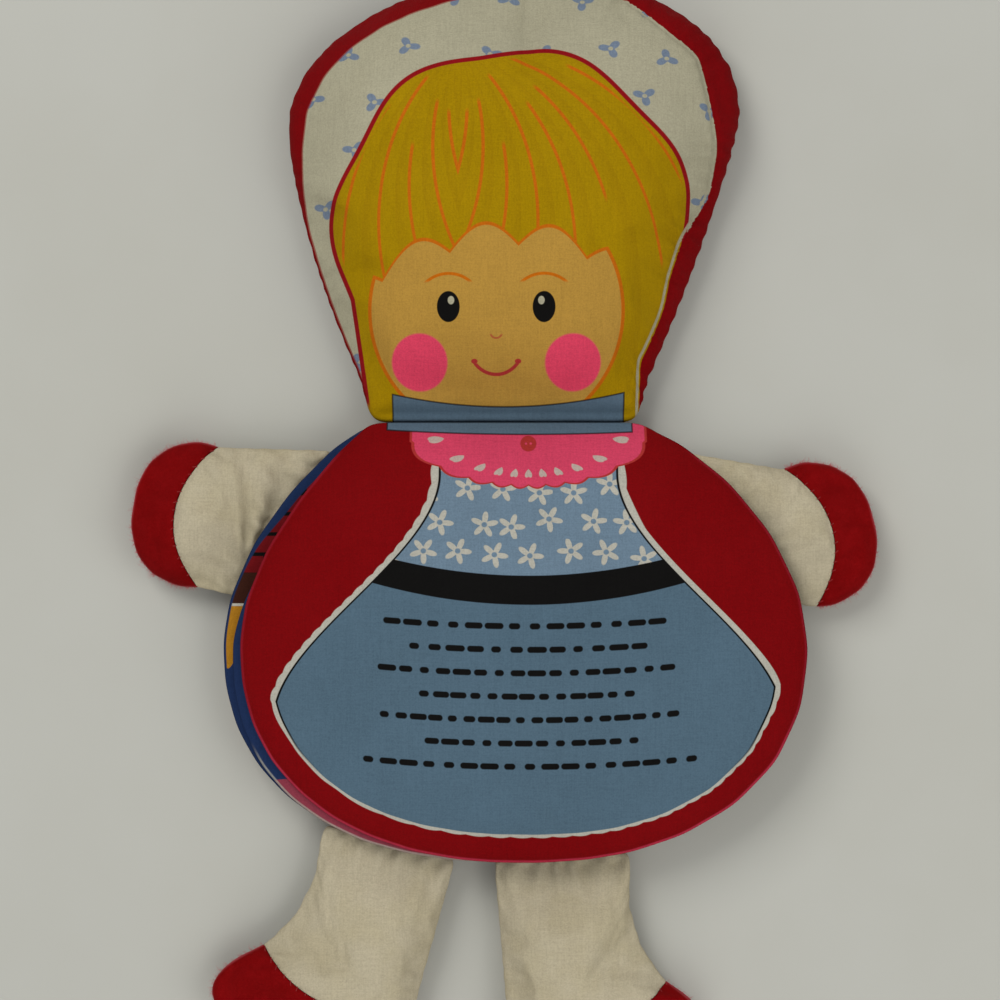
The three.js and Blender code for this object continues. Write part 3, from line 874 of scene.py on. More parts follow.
def draw_page_1(tree, x, y, z):
    """Apron and bodice between red borders, a scalloped yoke and rows of printed dashes."""
    inset = carried(tree, "Inset")
    across = x - DRESS_MIDDLE
    sheet = Print(tree, "red")
    # Field of the dress, which widens from the yoke to the hem, with a scalloped white edging
    widening = (20 - y).over(0, 92) * 62 + 33
    field = ((across.abs() - widening) * 0.8).max(10.8 - inset).max(y - 30)
    scallop = (((y + across) * 0.4).cos()).abs() * 0.5
    edging = (y + 90).over(0, 40) * 1.3 + 0.9
    sheet.paint("flower", (field - edging - scallop).inside())
    sheet.paint("panel", field.inside())
    # Bodice with flowers above the waistband
    waist = y + 23 - across * across * 0.0024
    bodice = (-waist).max(field)
    sheet.paint("bodice", bodice.inside())
    petals, eyes = placed_flowers(tree, 12.6, 4.9, 5.0, (2.0, 4.0), 0.94)
    sheet.paint("flower", petals * bodice.inside())
    sheet.paint("bodice", eyes * bodice.inside())
    sheet.paint("ink", field.line(0.7) * (y + 96).over(0, 24))
    band = (waist.abs() - 5.4).max(field)
    sheet.paint("ink", band.inside())
    # Rows of rounded dashes, each row with its own rhythm and length
    pitch = 8.7
    level = (y + 32 - across * across * 0.0008) / pitch
    row = level.floor()
    chance = (row * 7.31).sin() * 0.5 + 0.5
    rate = chance * 0.03 + 0.13
    beat = (across + chance * 31 + 90) * rate
    half = ((beat.floor() * 4.7 + row * 2.1).sin() * 0.13 + 0.21) / rate
    ahead = (((beat.fract() - 0.5) / rate).abs() - half).max(0.0)
    dash = hypot(ahead, (level.fract() - 0.5) * pitch) - 1.15
    middle = (beat.floor() + 0.5) / rate - chance * 31 - 90
    row_end = (row * 3.3).sin() * 13 + 50
    zone = (middle.abs() - row_end).max(row + 0.5).max(-y - 94).max(field + 4)
    sheet.paint("ink", dash.inside(0.2) * zone.inside())
    # Yoke with a scalloped edge, a row of leaves and a button
    angle = (38 - y).angle_to(across)
    scallops = (angle * YOKE_SCALLOPS).cos().abs() * 1.9
    yoke = (ellipse(across, y, 0, 38, 45, 22) - scallops).max(across.abs() - 44)
    sheet.paint("yoke", yoke.inside())
    sheet.paint("lip", yoke.line(0.9))
    step = math.pi / YOKE_SCALLOPS
    spread = ((angle / step).fract() - 0.5) * step * hypot(across, 38 - y)
    leaf = hypot(spread, (yoke + 6.8) * 0.62) - 1.35
    sheet.paint("flower", leaf.inside() * 0.85)
    button = ellipse(across, y, 0, 31.5, 3.0, 3.0)
    sheet.paint("lip", button.inside())
    sheet.paint("yoke", (hypot(across.abs() - 0.9, y - 31.5) - 0.45).inside())
    # Collar strip that meets the head
    strip = (35 + across * across * 0.0006 - y).max((x - 2).abs() - 46)
    sheet.paint("collar", strip.inside())
    sheet.paint("ink", strip.line(0.6) * 0.8)
    # Turned edge, with a painted highlight: paler pink where light grazes it, more so towards the bottom
    highlit = ((-y - 60).over(0, 30) * 0.34 + 0.12) * (30 - y).over(0, 6)
    sheet.paint("cheek", (inset - 0.5).inside(0.4) * highlit)
    return sheet


def draw_page_2(tree, x, y, z):
    """Night blue with small six-armed stars inside two pale lines, over a red foot. The foot is painted rose
    and its bottom edge pale, as painted highlights where light grazes the page.
    """
    inset = carried(tree, "Inset")
    sheet = Print(tree, "night")
    petals, eyes = placed_flowers(tree, 17.0, 4.6, 6.0, (3.0, 5.0))
    sheet.paint("panel", petals * (inset - 16).over(0, 1))
    sheet.paint("mustard", eyes * (inset - 16).over(0, 1))
    sheet.paint("flower", (inset - 12.5).line(0.9))
    sheet.paint("panel", (inset - 14.6).line(0.6))
    # The foot is a red band, painted rose as a painted highlight where light grazes it
    foot = (y + 86 - x * 0.1).max(inset - 9)
    sheet.paint("#8c3a48", foot.inside())
    # Painted highlight: the bottom edge is painted pale where light grazes it
    sheet.paint("flower", (inset - 0.4).inside(0.3) * (-y - 80).over(0, 10) * 0.6)
    return sheet


def draw_page_3(tree, x, y, z):
    """Courses of bricks over a brown band, a mustard band and a night-blue foot with a scalloped edge."""
    sheet = Print(tree, "brick")
    inset = carried(tree, "Inset")
    course = (y + 200) / 7.6
    shift = (course.floor() * 0.5).fract()
    brick_x = ((x / 15 + shift).fract() - 0.5).abs() * -15 + 7.5
    brick_y = (course.fract() - 0.5).abs() * -7.6 + 3.8
    sheet.paint("ink", (brick_x.min(brick_y) - 0.7).inside())
    foot = y + 17
    sheet.paint("bark", foot.inside())
    sheet.paint("mustard", (foot + 12.5).inside())
    sheet.paint("flower", (foot + 12).line(1.0))
    scallops = foot + 34 + ((x * 0.8).sin() * 2).abs()
    sheet.paint("night", scallops.inside())
    edge = (y + 12).over(-6, 22) * 2.6 + 0.5
    sheet.paint("night", (inset - edge).inside())
    return sheet


def draw_page_back(tree, x, y, z):
    """Backs of the pages: mustard ground with scattered pale flowers inside a red border."""
    inset = carried(tree, "Inset")
    sheet = Print(tree, "mustard")
    petals, eyes = placed_flowers(tree, 19.0, 4.8, 5.0, (9.0, 2.0))
    sheet.paint("flower", petals)
    sheet.paint("brick", eyes)
    sheet.paint("brick", (inset - 9).inside())
    sheet.paint("flower", (inset - 10.4).line(0.8))
    return sheet


def draw_body_front(tree, x, y, z):
    """The cloth under the pages: blue with scattered flowers inside a red border."""
    inset = carried(tree, "Inset")
    sheet = Print(tree, "panel")
    petals, eyes = placed_flowers(tree, 22.0, 5.2, 5.0, (5.0, 11.0))
    sheet.paint("flower", petals)
    sheet.paint("mustard", eyes)
    sheet.paint("red", (inset - 10).inside())
    sheet.paint("flower", (inset - 11.2).line(0.8))
    return sheet


def draw_red(tree, x, y, z):
    return Print(tree, "red")


def draw_muslin(tree, x, y, z):
    """Unbleached cloth, a little yellower in blotches."""
    blotch = noise(tree, cloth_place(tree), 38, 3.0, 0.6).over(0.4, 0.7)
    return Print(tree, "muslin").paint("#a89b74", blotch * 0.3)


def felt_cloth():
    """Matted red wool felt with a soft nap."""
    tree, shader = new_material("Red felt", 0.95, 0.06)
    shader.inputs["Sheen Tint"].default_value = (*linear("#c23a36"), 1)
    nap = with_effect(tree, "Felt nap", Fibre=950.0)
    worn = with_effect(tree, "Washed wear", Size=40.0, Soil=0.3)
    sheet = Print(tree, "felt")
    sheet.paint("#8a0d10", nap["Shade"] * 0.55)
    sheet.paint("#5a0203", worn["Fade"] * 0.35)
    sheet.paint("fibre", (carried(tree, "Inset") - 0.6).inside(0.6) * 0.6)
    finish(tree, shader, sheet, nap["Height"], 0.7, 0.5 * MM, 0.9 + nap["Shade"] * 0.08)


def thread_finish(name, colour, pale):
    """Twisted thread or loose wool, paler where it catches the light."""
    tree, shader = new_material(name, 0.75, 0.1)
    x, y, z = own_place(tree)
    twist = ((x + y * 1.7 + z) * 6.5).sin() * 0.5 + 0.5
    finish(tree, shader, Print(tree, colour).paint(pale, twist * 0.5), twist, 0.5, 0.1 * MM)


CLOTHS = {
    "Head print": draw_head,
    "Page 1 print": draw_page_1,
    "Page 2 print": draw_page_2,
    "Page 3 print": draw_page_3,
    "Page back print": draw_page_back,
    "Body print": draw_body_front,
    "Red cotton": draw_red,
    "Muslin": draw_muslin,
}


class DOLL_OT_cloths(bpy.types.Operator):
    """Makes the cloths, the felt and the thread that the doll is sewn from"""

    bl_idname = "doll.cloths"
    bl_label = "Cloths and prints"

    def execute(self, context):
        for make in (weave_effect, wear_effect, nap_effect, flowers_effect):
            make()
        for name, draw in CLOTHS.items():
            cotton(name, draw)
        felt_cloth()
        thread_finish("Thread", "thread", "#8c2a26")
        thread_finish("Loose wool", "fibre", "#c8646a")
        return {"FINISHED"}


# Pieces

def note(piece, name, values):
    """Stores a distance in millimetres on the cloth, for its print to follow."""
    layer = piece.data.attributes.get(name) or piece.data.attributes.new(name, "FLOAT", "POINT")
    layer.data.foreach_set("value", np.asarray(values / MM, np.float32))


def seam_folds(outline, x, y, seed, pitch=7 * MM, reach=None):
    """The folds beside a form's own seam, closed round the outline."""
    angle, _ = outline.seen(x, y)
    # A whole number of folds goes round, so that the last meets the first
    total = outline.along(-1e-9)
    whole = total / max(1, round(total / pitch))
    rim = outline.place(angle)
    bend = lumps(*rim, 30 * MM, seed) * 2.4
    height = 0.6 + 0.4 * lumps(*rim, 34 * MM, seed + 1)
    run = (reach or sewing().pucker_length) * (0.8 + 0.35 * lumps(*rim, 22 * MM, seed + 2))
    depth = outline.depth(x, y)
    fade = np.exp(-((depth / np.maximum(run, 2 * MM)) ** 1.3)) * eased(depth, -1 * MM, 2 * MM)
    return np.sin(2 * np.pi * outline.along(angle) / whole + bend) * height * fade


def heights_of(outline, node_top, shape, trim):
    """Front and back heights of a stuffed form over its outline."""
    rim_top, rim_bottom = SEAM_HEIGHT + RIM_HALF, SEAM_HEIGHT - RIM_HALF
    rise, fall = (node_top - rim_top) * trim, rim_bottom + FLOOR_REST

    def front(x, y):
        return rim_top + rise * swell(outline.inward(x, y)) * shape(x, y)

    def back(x, y):
        return np.maximum(0, rim_bottom - fall * swell(outline.inward(x, y)) * shape(x, y))

    return front, back


def keep_apart(piece):
    """Keeps the front cloth above the seam, the back cloth below it and nothing below the floor."""
    places = places_of(piece)
    front = np.zeros(len(places), bool)
    back = np.zeros(len(places), bool)
    for face in piece.data.polygons:
        (front if face.material_index == FRONT else back)[list(face.vertices)] = True
    only_front, only_back = front & ~back, back & ~front
    places[only_front, 2] = np.maximum(places[only_front, 2], SEAM_HEIGHT + CLOTH_GAP)
    places[only_back, 2] = np.minimum(places[only_back, 2], SEAM_HEIGHT - CLOTH_GAP)
    places[front & back, 2] = SEAM_HEIGHT
    places[:, 2] = np.maximum(places[:, 2], 0)
    put_places(piece, places)


# The red cloth comes round to the front at the doll's left, up to this seam: (x, y) in millimetres
WRAP_SEAM = [
    (51.0, 39.0),
    (51.3, 62.5),
    (53.9, 67.4),
    (59.9, 81.3),
    (62.2, 93.6),
    (66.7, 107.9),
    (77.2, 124.4),
    (79.8, 140.5),
    (79.4, 146.2),
    (76.0, 163.4),
    (72.7, 176.2),
    (61.0, 185.5),
    (45.7, 197.9),
    (22.0, 210.0),
]


def wrap_distance(x, y):
    """Signed distance from the wrapped seam, above 0 on the red cloth, and the run along it."""
    path = np.array(WRAP_SEAM) * MM
    fine = np.linspace(0, len(path) - 1, 240)
    line = np.stack([np.interp(fine, range(len(path)), path[:, k]) for k in (0, 1)], 1)
    for _ in range(12):
        line[1:-1] = (line[:-2] + line[1:-1] + line[2:]) / 3
    run = np.concatenate([[0], np.cumsum(np.hypot(*np.diff(line, axis=0).T))])
    ahead = np.gradient(line, axis=0)
    gap = np.hypot(x[:, None] - line[None, :, 0], y[:, None] - line[None, :, 1])
    near = gap.argmin(1)
    dx, dy = x - line[near, 0], y - line[near, 1]
    side = ahead[near, 1] * dx - ahead[near, 0] * dy
    return np.sign(side) * gap[np.arange(len(x)), near], run[near]


# Where the turning pages sweep over the head: y of their farthest reach and the height free below
PAGE_SWEEP = (43.2 * MM, 13.0 * MM)
PAGE_SWEEP_SLOPE = 1.1
WRAP_GROOVE_WIDTH = 1.3 * MM
WRAP_GROOVE_DEPTH = 1.2 * MM
WRAP_GATHER_PITCH = 6.5 * MM


def neck_ridge(y, z, depth, neck):
    """How far the front of the head stands up beside the pages, from its neck seam on."""
    inside = eased(depth, 0.1 * MM, 1.7 * MM) * eased(z, SEAM_HEIGHT, SEAM_HEIGHT + RIM_HALF)
    return NECK_RISE * np.exp(-np.maximum(y - neck, 0) / NECK_RUN) * inside


def wrapped_seam(x, y):
    """The groove of the wrapped seam and the gathers on both sides of it."""
    wrap, run = wrap_distance(x, y)
    groove = np.exp(-((wrap / WRAP_GROOVE_WIDTH) ** 2)) * -WRAP_GROOVE_DEPTH
    gathers = np.sin(2 * np.pi * run / WRAP_GATHER_PITCH + lumps(x, y, 28 * MM, SEEDS["wrap"]) * 2)
    gathers *= np.exp(-np.abs(wrap) / (5 * MM)) * (1 - np.exp(-((wrap / (1.5 * MM)) ** 2)))
    gathers *= (0.6 + 0.4 * lumps(x, y, 40 * MM, SEEDS["wrap"] + 1)) * 0.8 * MM
    return groove + gathers


def two_cloths(form, front, back):
    """Parts a finished form into its front and back cloths and dresses both."""
    for (name, *finish_of), layer in ((front, FRONT), (back, BACK)):
        dress(half_of(form, name, layer), *finish_of)
    drop(form)


class DOLL_OT_head(bpy.types.Operator):
    """Builds the stuffed head: the printed front and the red back that wraps round its edge"""

    bl_idname = "doll.head"
    bl_label = "Head"

    def execute(self, context):
        own = sewing()
        outline = Outline(("head_front_cloth", "head_back_cloth"), HEAD_CENTRE, 1.6)
        low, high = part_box("head_front_cloth")
        neck = low.y
        shape = lambda x, y: 0.55 + 0.45 * eased(y - neck, 0, 40 * MM)
        surfaces = heights_of(outline, high.z, shape, FULLNESS["head"])
        form = sewn_form("head_form", outline, own.rows, *surfaces, own.seam_pinch)
        puff_up(form, own.puff_limit, lambda x, y: eased(y - neck, 3 * MM, 24 * MM), 0.5)
        subdivide(form)
        subdivide(form)
        places = places_of(form)
        x, y, z = places.T
        depth = outline.depth(x, y)
        upper = eased(z, SEAM_HEIGHT, SEAM_HEIGHT + 6 * MM)
        folds_here = seam_folds(outline, x, y, SEEDS["head"]) * own.pucker_depth
        folds_here *= eased(y - neck, 1 * MM, 12 * MM)
        folds_here *= 0.4 + 0.6 * eased(x, -60 * MM, 40 * MM)
        soft = lumps(x, y, 52 * MM, SEEDS["head lumps"]) * own.lump_height * eased(depth, 4 * MM, 40 * MM)
        crumple = lumps(x, y, 16 * MM, SEEDS["head lumps"] + 1) * 0.16 * MM
        raised = folds_here + upper * (wrapped_seam(x, y) + soft + crumple)
        places[:, 2] += neck_ridge(y, z, depth, neck)
        put_places(form, places)
        raise_cloth(form, raised)
        places = places_of(form)
        swept, free = PAGE_SWEEP
        room = free + np.maximum(places[:, 1] - swept, 0) * PAGE_SWEEP_SLOPE
        places[:, 2] = lower_of(places[:, 2], room, 0.5 * MM)
        put_places(form, places)
        keep_apart(form)
        x, y, z = places_of(form).T
        note(form, "Inset", outline.depth(x, y))
        note(form, "Wrap", wrap_distance(x, y)[0])
        bend = ((0, neck, 0), (0, neck + NECK_BEND, 0))
        nodes = ["head_front_cloth", "head_stuffing"]
        two_cloths(
            form,
            ("head_front", "Head print", "head", "head_print", nodes, 0.8, bend),
            ("head_back", "Red cotton", "head", "red_cotton", ["head_back_cloth"], 0.7, bend),
        )
        return {"FINISHED"}


class DOLL_OT_body(bpy.types.Operator):
    """Builds the flat body cushion that lies under the pages"""

    bl_idname = "doll.body"
    bl_label = "Body"

    def execute(self, context):
        own = sewing()
        outline = Outline(("body_front_cloth", "body_back_cloth"), BODY_CENTRE, 1.5)
        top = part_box("body_front_cloth")[1].z
        front, back = heights_of(outline, top, lambda x, y: 1.0, FULLNESS["body"])
        form = sewn_form("body_form", outline, own.rows, front, back, own.seam_pinch)
        puff_up(form, BODY_PUFF)
        subdivide(form)
        x, y, z = places_of(form).T
        lower = 1 - eased(z, SEAM_HEIGHT - 3 * MM, SEAM_HEIGHT)
        raise_cloth(form, seam_folds(outline, x, y, SEEDS["body"]) * own.pucker_depth * lower)
        places = places_of(form)
        x, y, z = places.T
        places[:, 2] = np.minimum(z, np.maximum(front(x, y) - CLOTH_GAP, SEAM_HEIGHT))
        put_places(form, places)
        keep_apart(form)
        note(form, "Inset", outline.depth(*places_of(form).T[:2]))
        nodes = ["body_front_cloth", "body_stuffing"]
        two_cloths(
            form,
            ("body_front", "Body print", "body", "page_print", nodes, 0.6),
            ("body_back", "Red cotton", "body", "red_cotton", ["body_back_cloth"], 0.6),
        )
        return {"FINISHED"}


# Headings in degrees between which page 2 is tucked in, with the ease at both ends
TUCK_FROM, TUCK_TO = (112, 125), (164, 180)
PAGE_ROWS = 128
PAGE_PARTING = 0.05 * MM
PAGE_BULGE = 0.45 * MM


class DOLL_OT_pages(bpy.types.Operator):
    """Builds the three padded pages, each with its own print and a turned edge"""

    bl_idname = "doll.pages"
    bl_label = "Pages"

    def execute(self, context):
        stack = Outline(("page_1_front_cloth",), BODY_CENTRE, 2.5)
        neck_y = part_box("page_1_front_cloth")[1].y

        def lift(x, y):
            free = PAGE_RIM_SHARE * eased(neck_y - y, 0, PAGE_LIFT_DEPTH)
            return 1 - (1 - swell(stack.inward(x, y))) * (1 - free)

        for number in range(1, PAGE_COUNT + 1):
            page = f"page_{number}"
            front_node, back_node = f"{page}_front_cloth", f"{page}_back_cloth"
            outline = Outline((front_node, back_node), BODY_CENTRE, 2.0)
            if number == 2:
                heading = np.degrees(HEADINGS)
                outline.reach -= TUCK * eased(heading, *TUCK_FROM) * (1 - eased(heading, *TUCK_TO))
            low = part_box(back_node)[0].z
            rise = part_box(front_node)[1].z - PAGE_MIDDLE - low
            x, y = laid_out(outline, PAGE_ROWS)
            depth = outline.depth(x, y)
            under = low + rise * lift(x, y)
            parting = under + PAGE_CLOTH
            swollen = (PAGE_MIDDLE - 2 * PAGE_CLOTH) * (0.16 + 0.84 * swell(outline.inward(x, y)))
            top = under + 2 * PAGE_CLOTH + swollen
            top += seam_folds(outline, x, y, SEEDS["page"] + number, 8.5 * MM, 9 * MM) * 0.4 * MM
            if number == 1:
                soft = lumps(x, y, 48 * MM, SEEDS["page lumps"]) * 0.9 * MM
                soft += lumps(x, y, 19 * MM, SEEDS["page lumps"] + 1) * 0.22 * MM
                top += soft * eased(depth, 2 * MM, 18 * MM) * eased(neck_y - y, 4 * MM, 30 * MM)
            rim_drop = 1 - np.exp(-depth / (1.1 * MM))
            thinnest = parting + 0.3 * MM
            top = thinnest + (top - thinnest) * (0.45 + 0.55 * rim_drop)
            # The first page's front cloth reaches on to the head
            reach = NECK_REACH * eased(y, neck_y - 4 * MM, neck_y) * (number == 1)
            front = (y + reach, top, parting + PAGE_PARTING)
            back = (y, parting - PAGE_PARTING, under)
            for label, surfaces, cloth, nodes, fill in (
                ("front", front, f"Page {number} print", [front_node, f"{page}_wadding"], 0.3),
                ("back", back, "Page back print", [back_node], 0.1),
            ):
                far, upper, lower = surfaces
                middle = np.array([x.mean(), far.mean()])
                half = ((upper + lower) / 2)[rim_walk(PAGE_ROWS)]
                name = f"{page}_{label}"
                piece = closed_form(name, x, *surfaces, PAGE_ROWS, middle, PAGE_BULGE, half)
                note(piece, "Inset", outline.depth(*places_of(piece).T[:2]))
                dress(piece, cloth, page, "page_print", nodes, fill)
        return {"FINISHED"}


STITCH_GAP = 3.4 * MM
THREAD_RADIUS = 0.2 * MM
WOOL_RADIUS = 0.055 * MM
WOOL_COUNT = 2000
CUFF_GAP = 0.12 * MM


class Cuff:
    """The curved line between a limb's cloth and its felt end."""

    def __init__(self, middle, out, half, bulge):
        self.middle = np.array(middle) * MM
        self.out = np.array(out) / np.linalg.norm(out)
        self.across = np.array([-self.out[1], self.out[0]])
        self.half = half * MM
        self.bulge = bulge * MM

    def flat(self, x, y):
        """Distance beyond the cuff and place along it."""
        d = np.stack([x, y], 1) - self.middle
        u, v = d @ self.out, d @ self.across
        return u - self.bulge * (1 - (v / self.half) ** 2), v

    def curved(self, beyond, v):
        """The way back from flat()."""
        u = beyond + self.bulge * (1 - (v / self.half) ** 2)
        return (self.middle + np.outer(u, self.out) + np.outer(v, self.across)).T


def cut_at_cuff(form, name, cuff, felt):
    """The cloth or the felt part of a limb, cut along the cuff's curve."""

    def move(cut, way):
        x, y, _ = np.array([v.co for v in cut.verts]).T
        for v, px, py in zip(cut.verts, *way(x, y)):
            v.co.x, v.co.y = px, py

    def take_away(cut):
        move(cut, cuff.flat)
        bmesh.ops.bisect_plane(
            cut,
            geom=cut.verts[:] + cut.edges[:] + cut.faces[:],
            plane_co=(CUFF_GAP if felt else -CUFF_GAP, 0, 0),
            plane_no=(1, 0, 0),
            clear_inner=felt,
            clear_outer=not felt,
        )

    return cut_piece(form, name, take_away, lambda cut: move(cut, cuff.curved))


def fan_of_folds(x, y, fan):
    """Soft folds that spread from one point, such as an armpit, between two headings."""
    (px, py), low, high, count, height = fan
    away = np.hypot(x - px * MM, y - py * MM)
    heading = np.degrees(np.arctan2(y - py * MM, x - px * MM))
    part = (heading - low) / (high - low) + lumps(x, y, 45 * MM, SEEDS["armpit"]) * 0.06
    window = eased(part, -0.1, 0.12) * (1 - eased(part, 0.88, 1.1))
    run = eased(away, 8 * MM, 30 * MM) * (1 - eased(away, 45 * MM, 85 * MM))
    return np.sin(part * 2 * np.pi * count) * window * run * height * MM


def cuff_stitches(form, cuff, draw):
    """Paths of the small hand stitches that hold the felt to the muslin, on both sides of the limb."""
    mesh = form.data
    cloth = BVHTree.FromPolygons([v.co[:] for v in mesh.vertices], [f.vertices[:] for f in mesh.polygons])
    part = np.linspace(0, 1, 5)
    paths = []
    for side in (1, -1):
        for v in np.arange(-cuff.half * 1.3, cuff.half * 1.3, STITCH_GAP):
            v += draw.uniform(-0.5, 0.5) * MM
            reach = draw.uniform(0.8, 1.5) * MM
            lean = draw.uniform(0.1, 1.1) * MM
            x, y = cuff.curved(reach * (part * 1.3 - 0.3), v + lean * part)
            hits = [cloth.ray_cast(Vector((*at, side * 0.2)), Vector((0, 0, -side)))[0] for at in zip(x, y)]
            if None in hits:
                continue
            z = np.array([hit.z for hit in hits]) + side * (np.sin(part * np.pi) * 0.36 - 0.14) * MM
            paths.append(np.stack([x, y, np.maximum(z, THREAD_RADIUS)], 1))
    return paths


def loose_wool(outline, cuff, draw):
    """Paths of the fibres that stand off the rim of the felt."""
    paths = []
    for angle in draw.uniform(0, 2 * np.pi, WOOL_COUNT):
        out = np.array([math.cos(angle), math.sin(angle)])
        rim = outline.centre + out * (outline.at(angle) - 0.9 * MM)
        beyond = cuff.flat(rim[:1], rim[1:])[0][0]
        turn = angle + draw.normal() * 0.7
        reach = (0.9 + draw.gamma(2.0, 0.32)) * MM
        rise = draw.normal() * 0.35 * MM
        start = SEAM_HEIGHT + draw.uniform(-1.0, 1.3) * MM
        bend = draw.normal() * 0.5
        if beyond < 0.4 * MM:
            continue
        points = [(*rim, start)]
        for step in (0.5, 1.0):
            heading, away = turn + bend * step, reach * step
            x, y = rim[0] + math.cos(heading) * away, rim[1] + math.sin(heading) * away
            points.append((x, y, start + rise * step))
        paths.append(points)
    return paths


# The parts of each kind of limb: its muslin, how its cloth nodes end, its felt end and the length
# over which it swells from the root
LIMB_PARTS = {"arm": ("sleeve", "", "hand", 33 * MM), "leg": ("leg", "_cloth", "shoe", 26 * MM)}
LIMB_ROWS = 44
LIMB_GATHER_PITCH = 8.5 * MM
CUFF_CREASE_WIDTH = 1.3 * MM
CUFF_CREASE_DEPTH = 0.9 * MM


def build_limb(side, limb, centre, cuff, fan=None):
    """A stuffed limb: a muslin tube with folds at its sewn end, and a felt end sewn on at the cuff."""
    own = sewing()
    muslin, ending, tip, root_length = LIMB_PARTS[limb]
    name, tip, body = f"{side}_{muslin}", f"{side}_{tip}", f"{side}_{limb}"
    seed = LIMB_SEEDS[body]
    cloth_nodes = [f"{name}_{face}{ending}" for face in ("front", "back")]
    felt_nodes = [f"{tip}_{face}_felt" for face in ("front", "back")]
    # The outline is crisp at the muslin and rounded at the felt
    outline = Outline((*cloth_nodes, *felt_nodes), centre, 1.2)
    rounded = Outline((*cloth_nodes, *felt_nodes), centre, 3.4).reach
    beyond, _ = cuff.flat(*outline.place(HEADINGS))
    outline.reach += (rounded - outline.reach) * eased(beyond, -6 * MM, 3 * MM)
    draw = np.random.default_rng(seed)
    hinge = next(j for j in frame["joints"] if j["name"] == f"{body}_swing")
    start, axis = np.array(hinge["pos_m"][:2]), np.array(hinge["axis"][:2])
    axis = axis / np.linalg.norm(axis)

    def from_root(x, y):
        return np.abs((x - start[0]) * axis[1] - (y - start[1]) * axis[0])

    shape = lambda x, y: 0.15 + 0.85 * eased(from_root(x, y), 0, root_length)
    top = max(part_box(n)[1].z for n in cloth_nodes)
    surfaces = heights_of(outline, top, shape, FULLNESS["limb"])
    form = sewn_form(f"{name}_form", outline, LIMB_ROWS, *surfaces, own.seam_pinch * 0.7)
    puff_up(form, LIMB_PUFF, lambda x, y: eased(from_root(x, y), root_length * 0.2, root_length * 1.3))
    subdivide(form)
    x, y, _ = places_of(form).T
    root = from_root(x, y)
    along = (x - start[0]) * axis[0] + (y - start[1]) * axis[1]
    beyond, _ = cuff.flat(x, y)
    cloth = 1 - eased(beyond, -3 * MM, 0)
    gathers = np.sin(2 * np.pi * along / LIMB_GATHER_PITCH + lumps(x, y, 26 * MM, seed) * 2.2)
    gathers *= np.exp(-((root / (15 * MM)) ** 1.4)) * eased(root, 0, 3 * MM) * 0.95 * MM
    creases = lumps(x, y, 24 * MM, seed + 1) * 0.36 * MM * eased(root, 4 * MM, 16 * MM)
    fine = lumps(x, y, 11 * MM, seed + 2) * 0.14 * MM
    if fan:
        creases += fan_of_folds(x, y, fan)
    crease = np.exp(-((beyond / CUFF_CREASE_WIDTH) ** 2)) * -CUFF_CREASE_DEPTH
    beside = seam_folds(outline, x, y, seed + 3, 7.5 * MM, 8 * MM) * own.pucker_depth * 0.6
    inner = eased(outline.depth(x, y), 0, 3 * MM)
    raise_cloth(form, beside * cloth + inner * (crease + (gathers + creases + fine) * cloth))
    places = places_of(form)
    places[:, 2] = np.maximum(places[:, 2], 0)
    put_places(form, places)
    note(form, "Inset", outline.depth(places[:, 0], places[:, 1]))
    sleeve, end = (cut_at_cuff(form, part, cuff, felt) for part, felt in ((name, False), (tip, True)))
    sewn = strands(f"{tip}_stitches", cuff_stitches(form, cuff, draw), THREAD_RADIUS, 0)
    wool = strands(f"{tip}_wool", loose_wool(outline, cuff, draw), WOOL_RADIUS, 0.6)
    drop(form)
    dress(sewn, "Thread", body, "red_felt", None)
    dress(wool, "Loose wool", body, "red_felt", None)
    outward = np.array([axis[1], -axis[0]])
    away = outward * np.sign((outline.centre - start) @ outward)
    bend = ((*start, SEAM_HEIGHT), (*(start + away * LIMB_BEND), SEAM_HEIGHT))
    dress(sleeve, "Muslin", body, "muslin", [*cloth_nodes, f"{body}_stuffing"], 0.7, bend)
    dress(end, "Red felt", body, "red_felt", felt_nodes, 0.6)


# Where the cuffs and the limbs' roots are measured from, in millimetres
NECK_PLACE = np.array([-0.088, 38.913])
# Cuffs of the arms: distance from the doll's middle line, depth of the middle below the neck, and
# the arm's slant in degrees
ARM_REACH = 112
ARM_CUFFS = {"right": (35, 8.5), "left": (43, 13)}
# Half the width of each cuff and how far it bulges outwards
ARM_CUFF_SHAPE = (27, 12)
SHOE_CUFF_BULGE = 9
# Legs: place of the root below the neck, turn in degrees, and middle of the leg's outline
LEG_ROOTS = {"right": ((-43, -156.5), 13.5), "left": ((22, -162.2), 2.75)}
LEG_CENTRES = {"right": (-57.7 * MM, -165.5 * MM), "left": (27.3 * MM, -173.1 * MM)}
SHOE_HEEL, SHOE_TOE = (-24, -61.41), (37, -50.65)
# Folds at the armpits: the point, two headings in degrees, how many, and their height in millimetres
ARMPIT_FOLDS = {"right": ((-99.0, -24.0), 60, 96, 2.5, 0.8), "left": ((92.0, 18.0), 250, 300, 2, 0.4)}
SIGN = {"right": -1, "left": 1}


def direction(degrees):
    return np.array([math.cos(math.radians(degrees)), math.sin(math.radians(degrees))])


def arm_cuff(side):
    drop_below, tilt = ARM_CUFFS[side]
    middle = np.array([SIGN[side] * ARM_REACH, -drop_below]) + NECK_PLACE
    return Cuff(middle, direction(SIGN[side] * tilt) * SIGN[side], *ARM_CUFF_SHAPE)


def leg_cuff(side):
    root, turn = LEG_ROOTS[side]
    c, s = direction(SIGN[side] * turn)

    def place(point):
        x, y = SIGN[side] * point[0], point[1]
        return np.array([x * c - y * s, x * s + y * c]) + np.array(root) + NECK_PLACE

    heel, toe = place(SHOE_HEEL), place(SHOE_TOE)
    chord = toe - heel
    out = np.array([chord[1], -chord[0]]) * SIGN[side]
    return Cuff((heel + toe) / 2, out, np.linalg.norm(chord) / 2, SHOE_CUFF_BULGE)


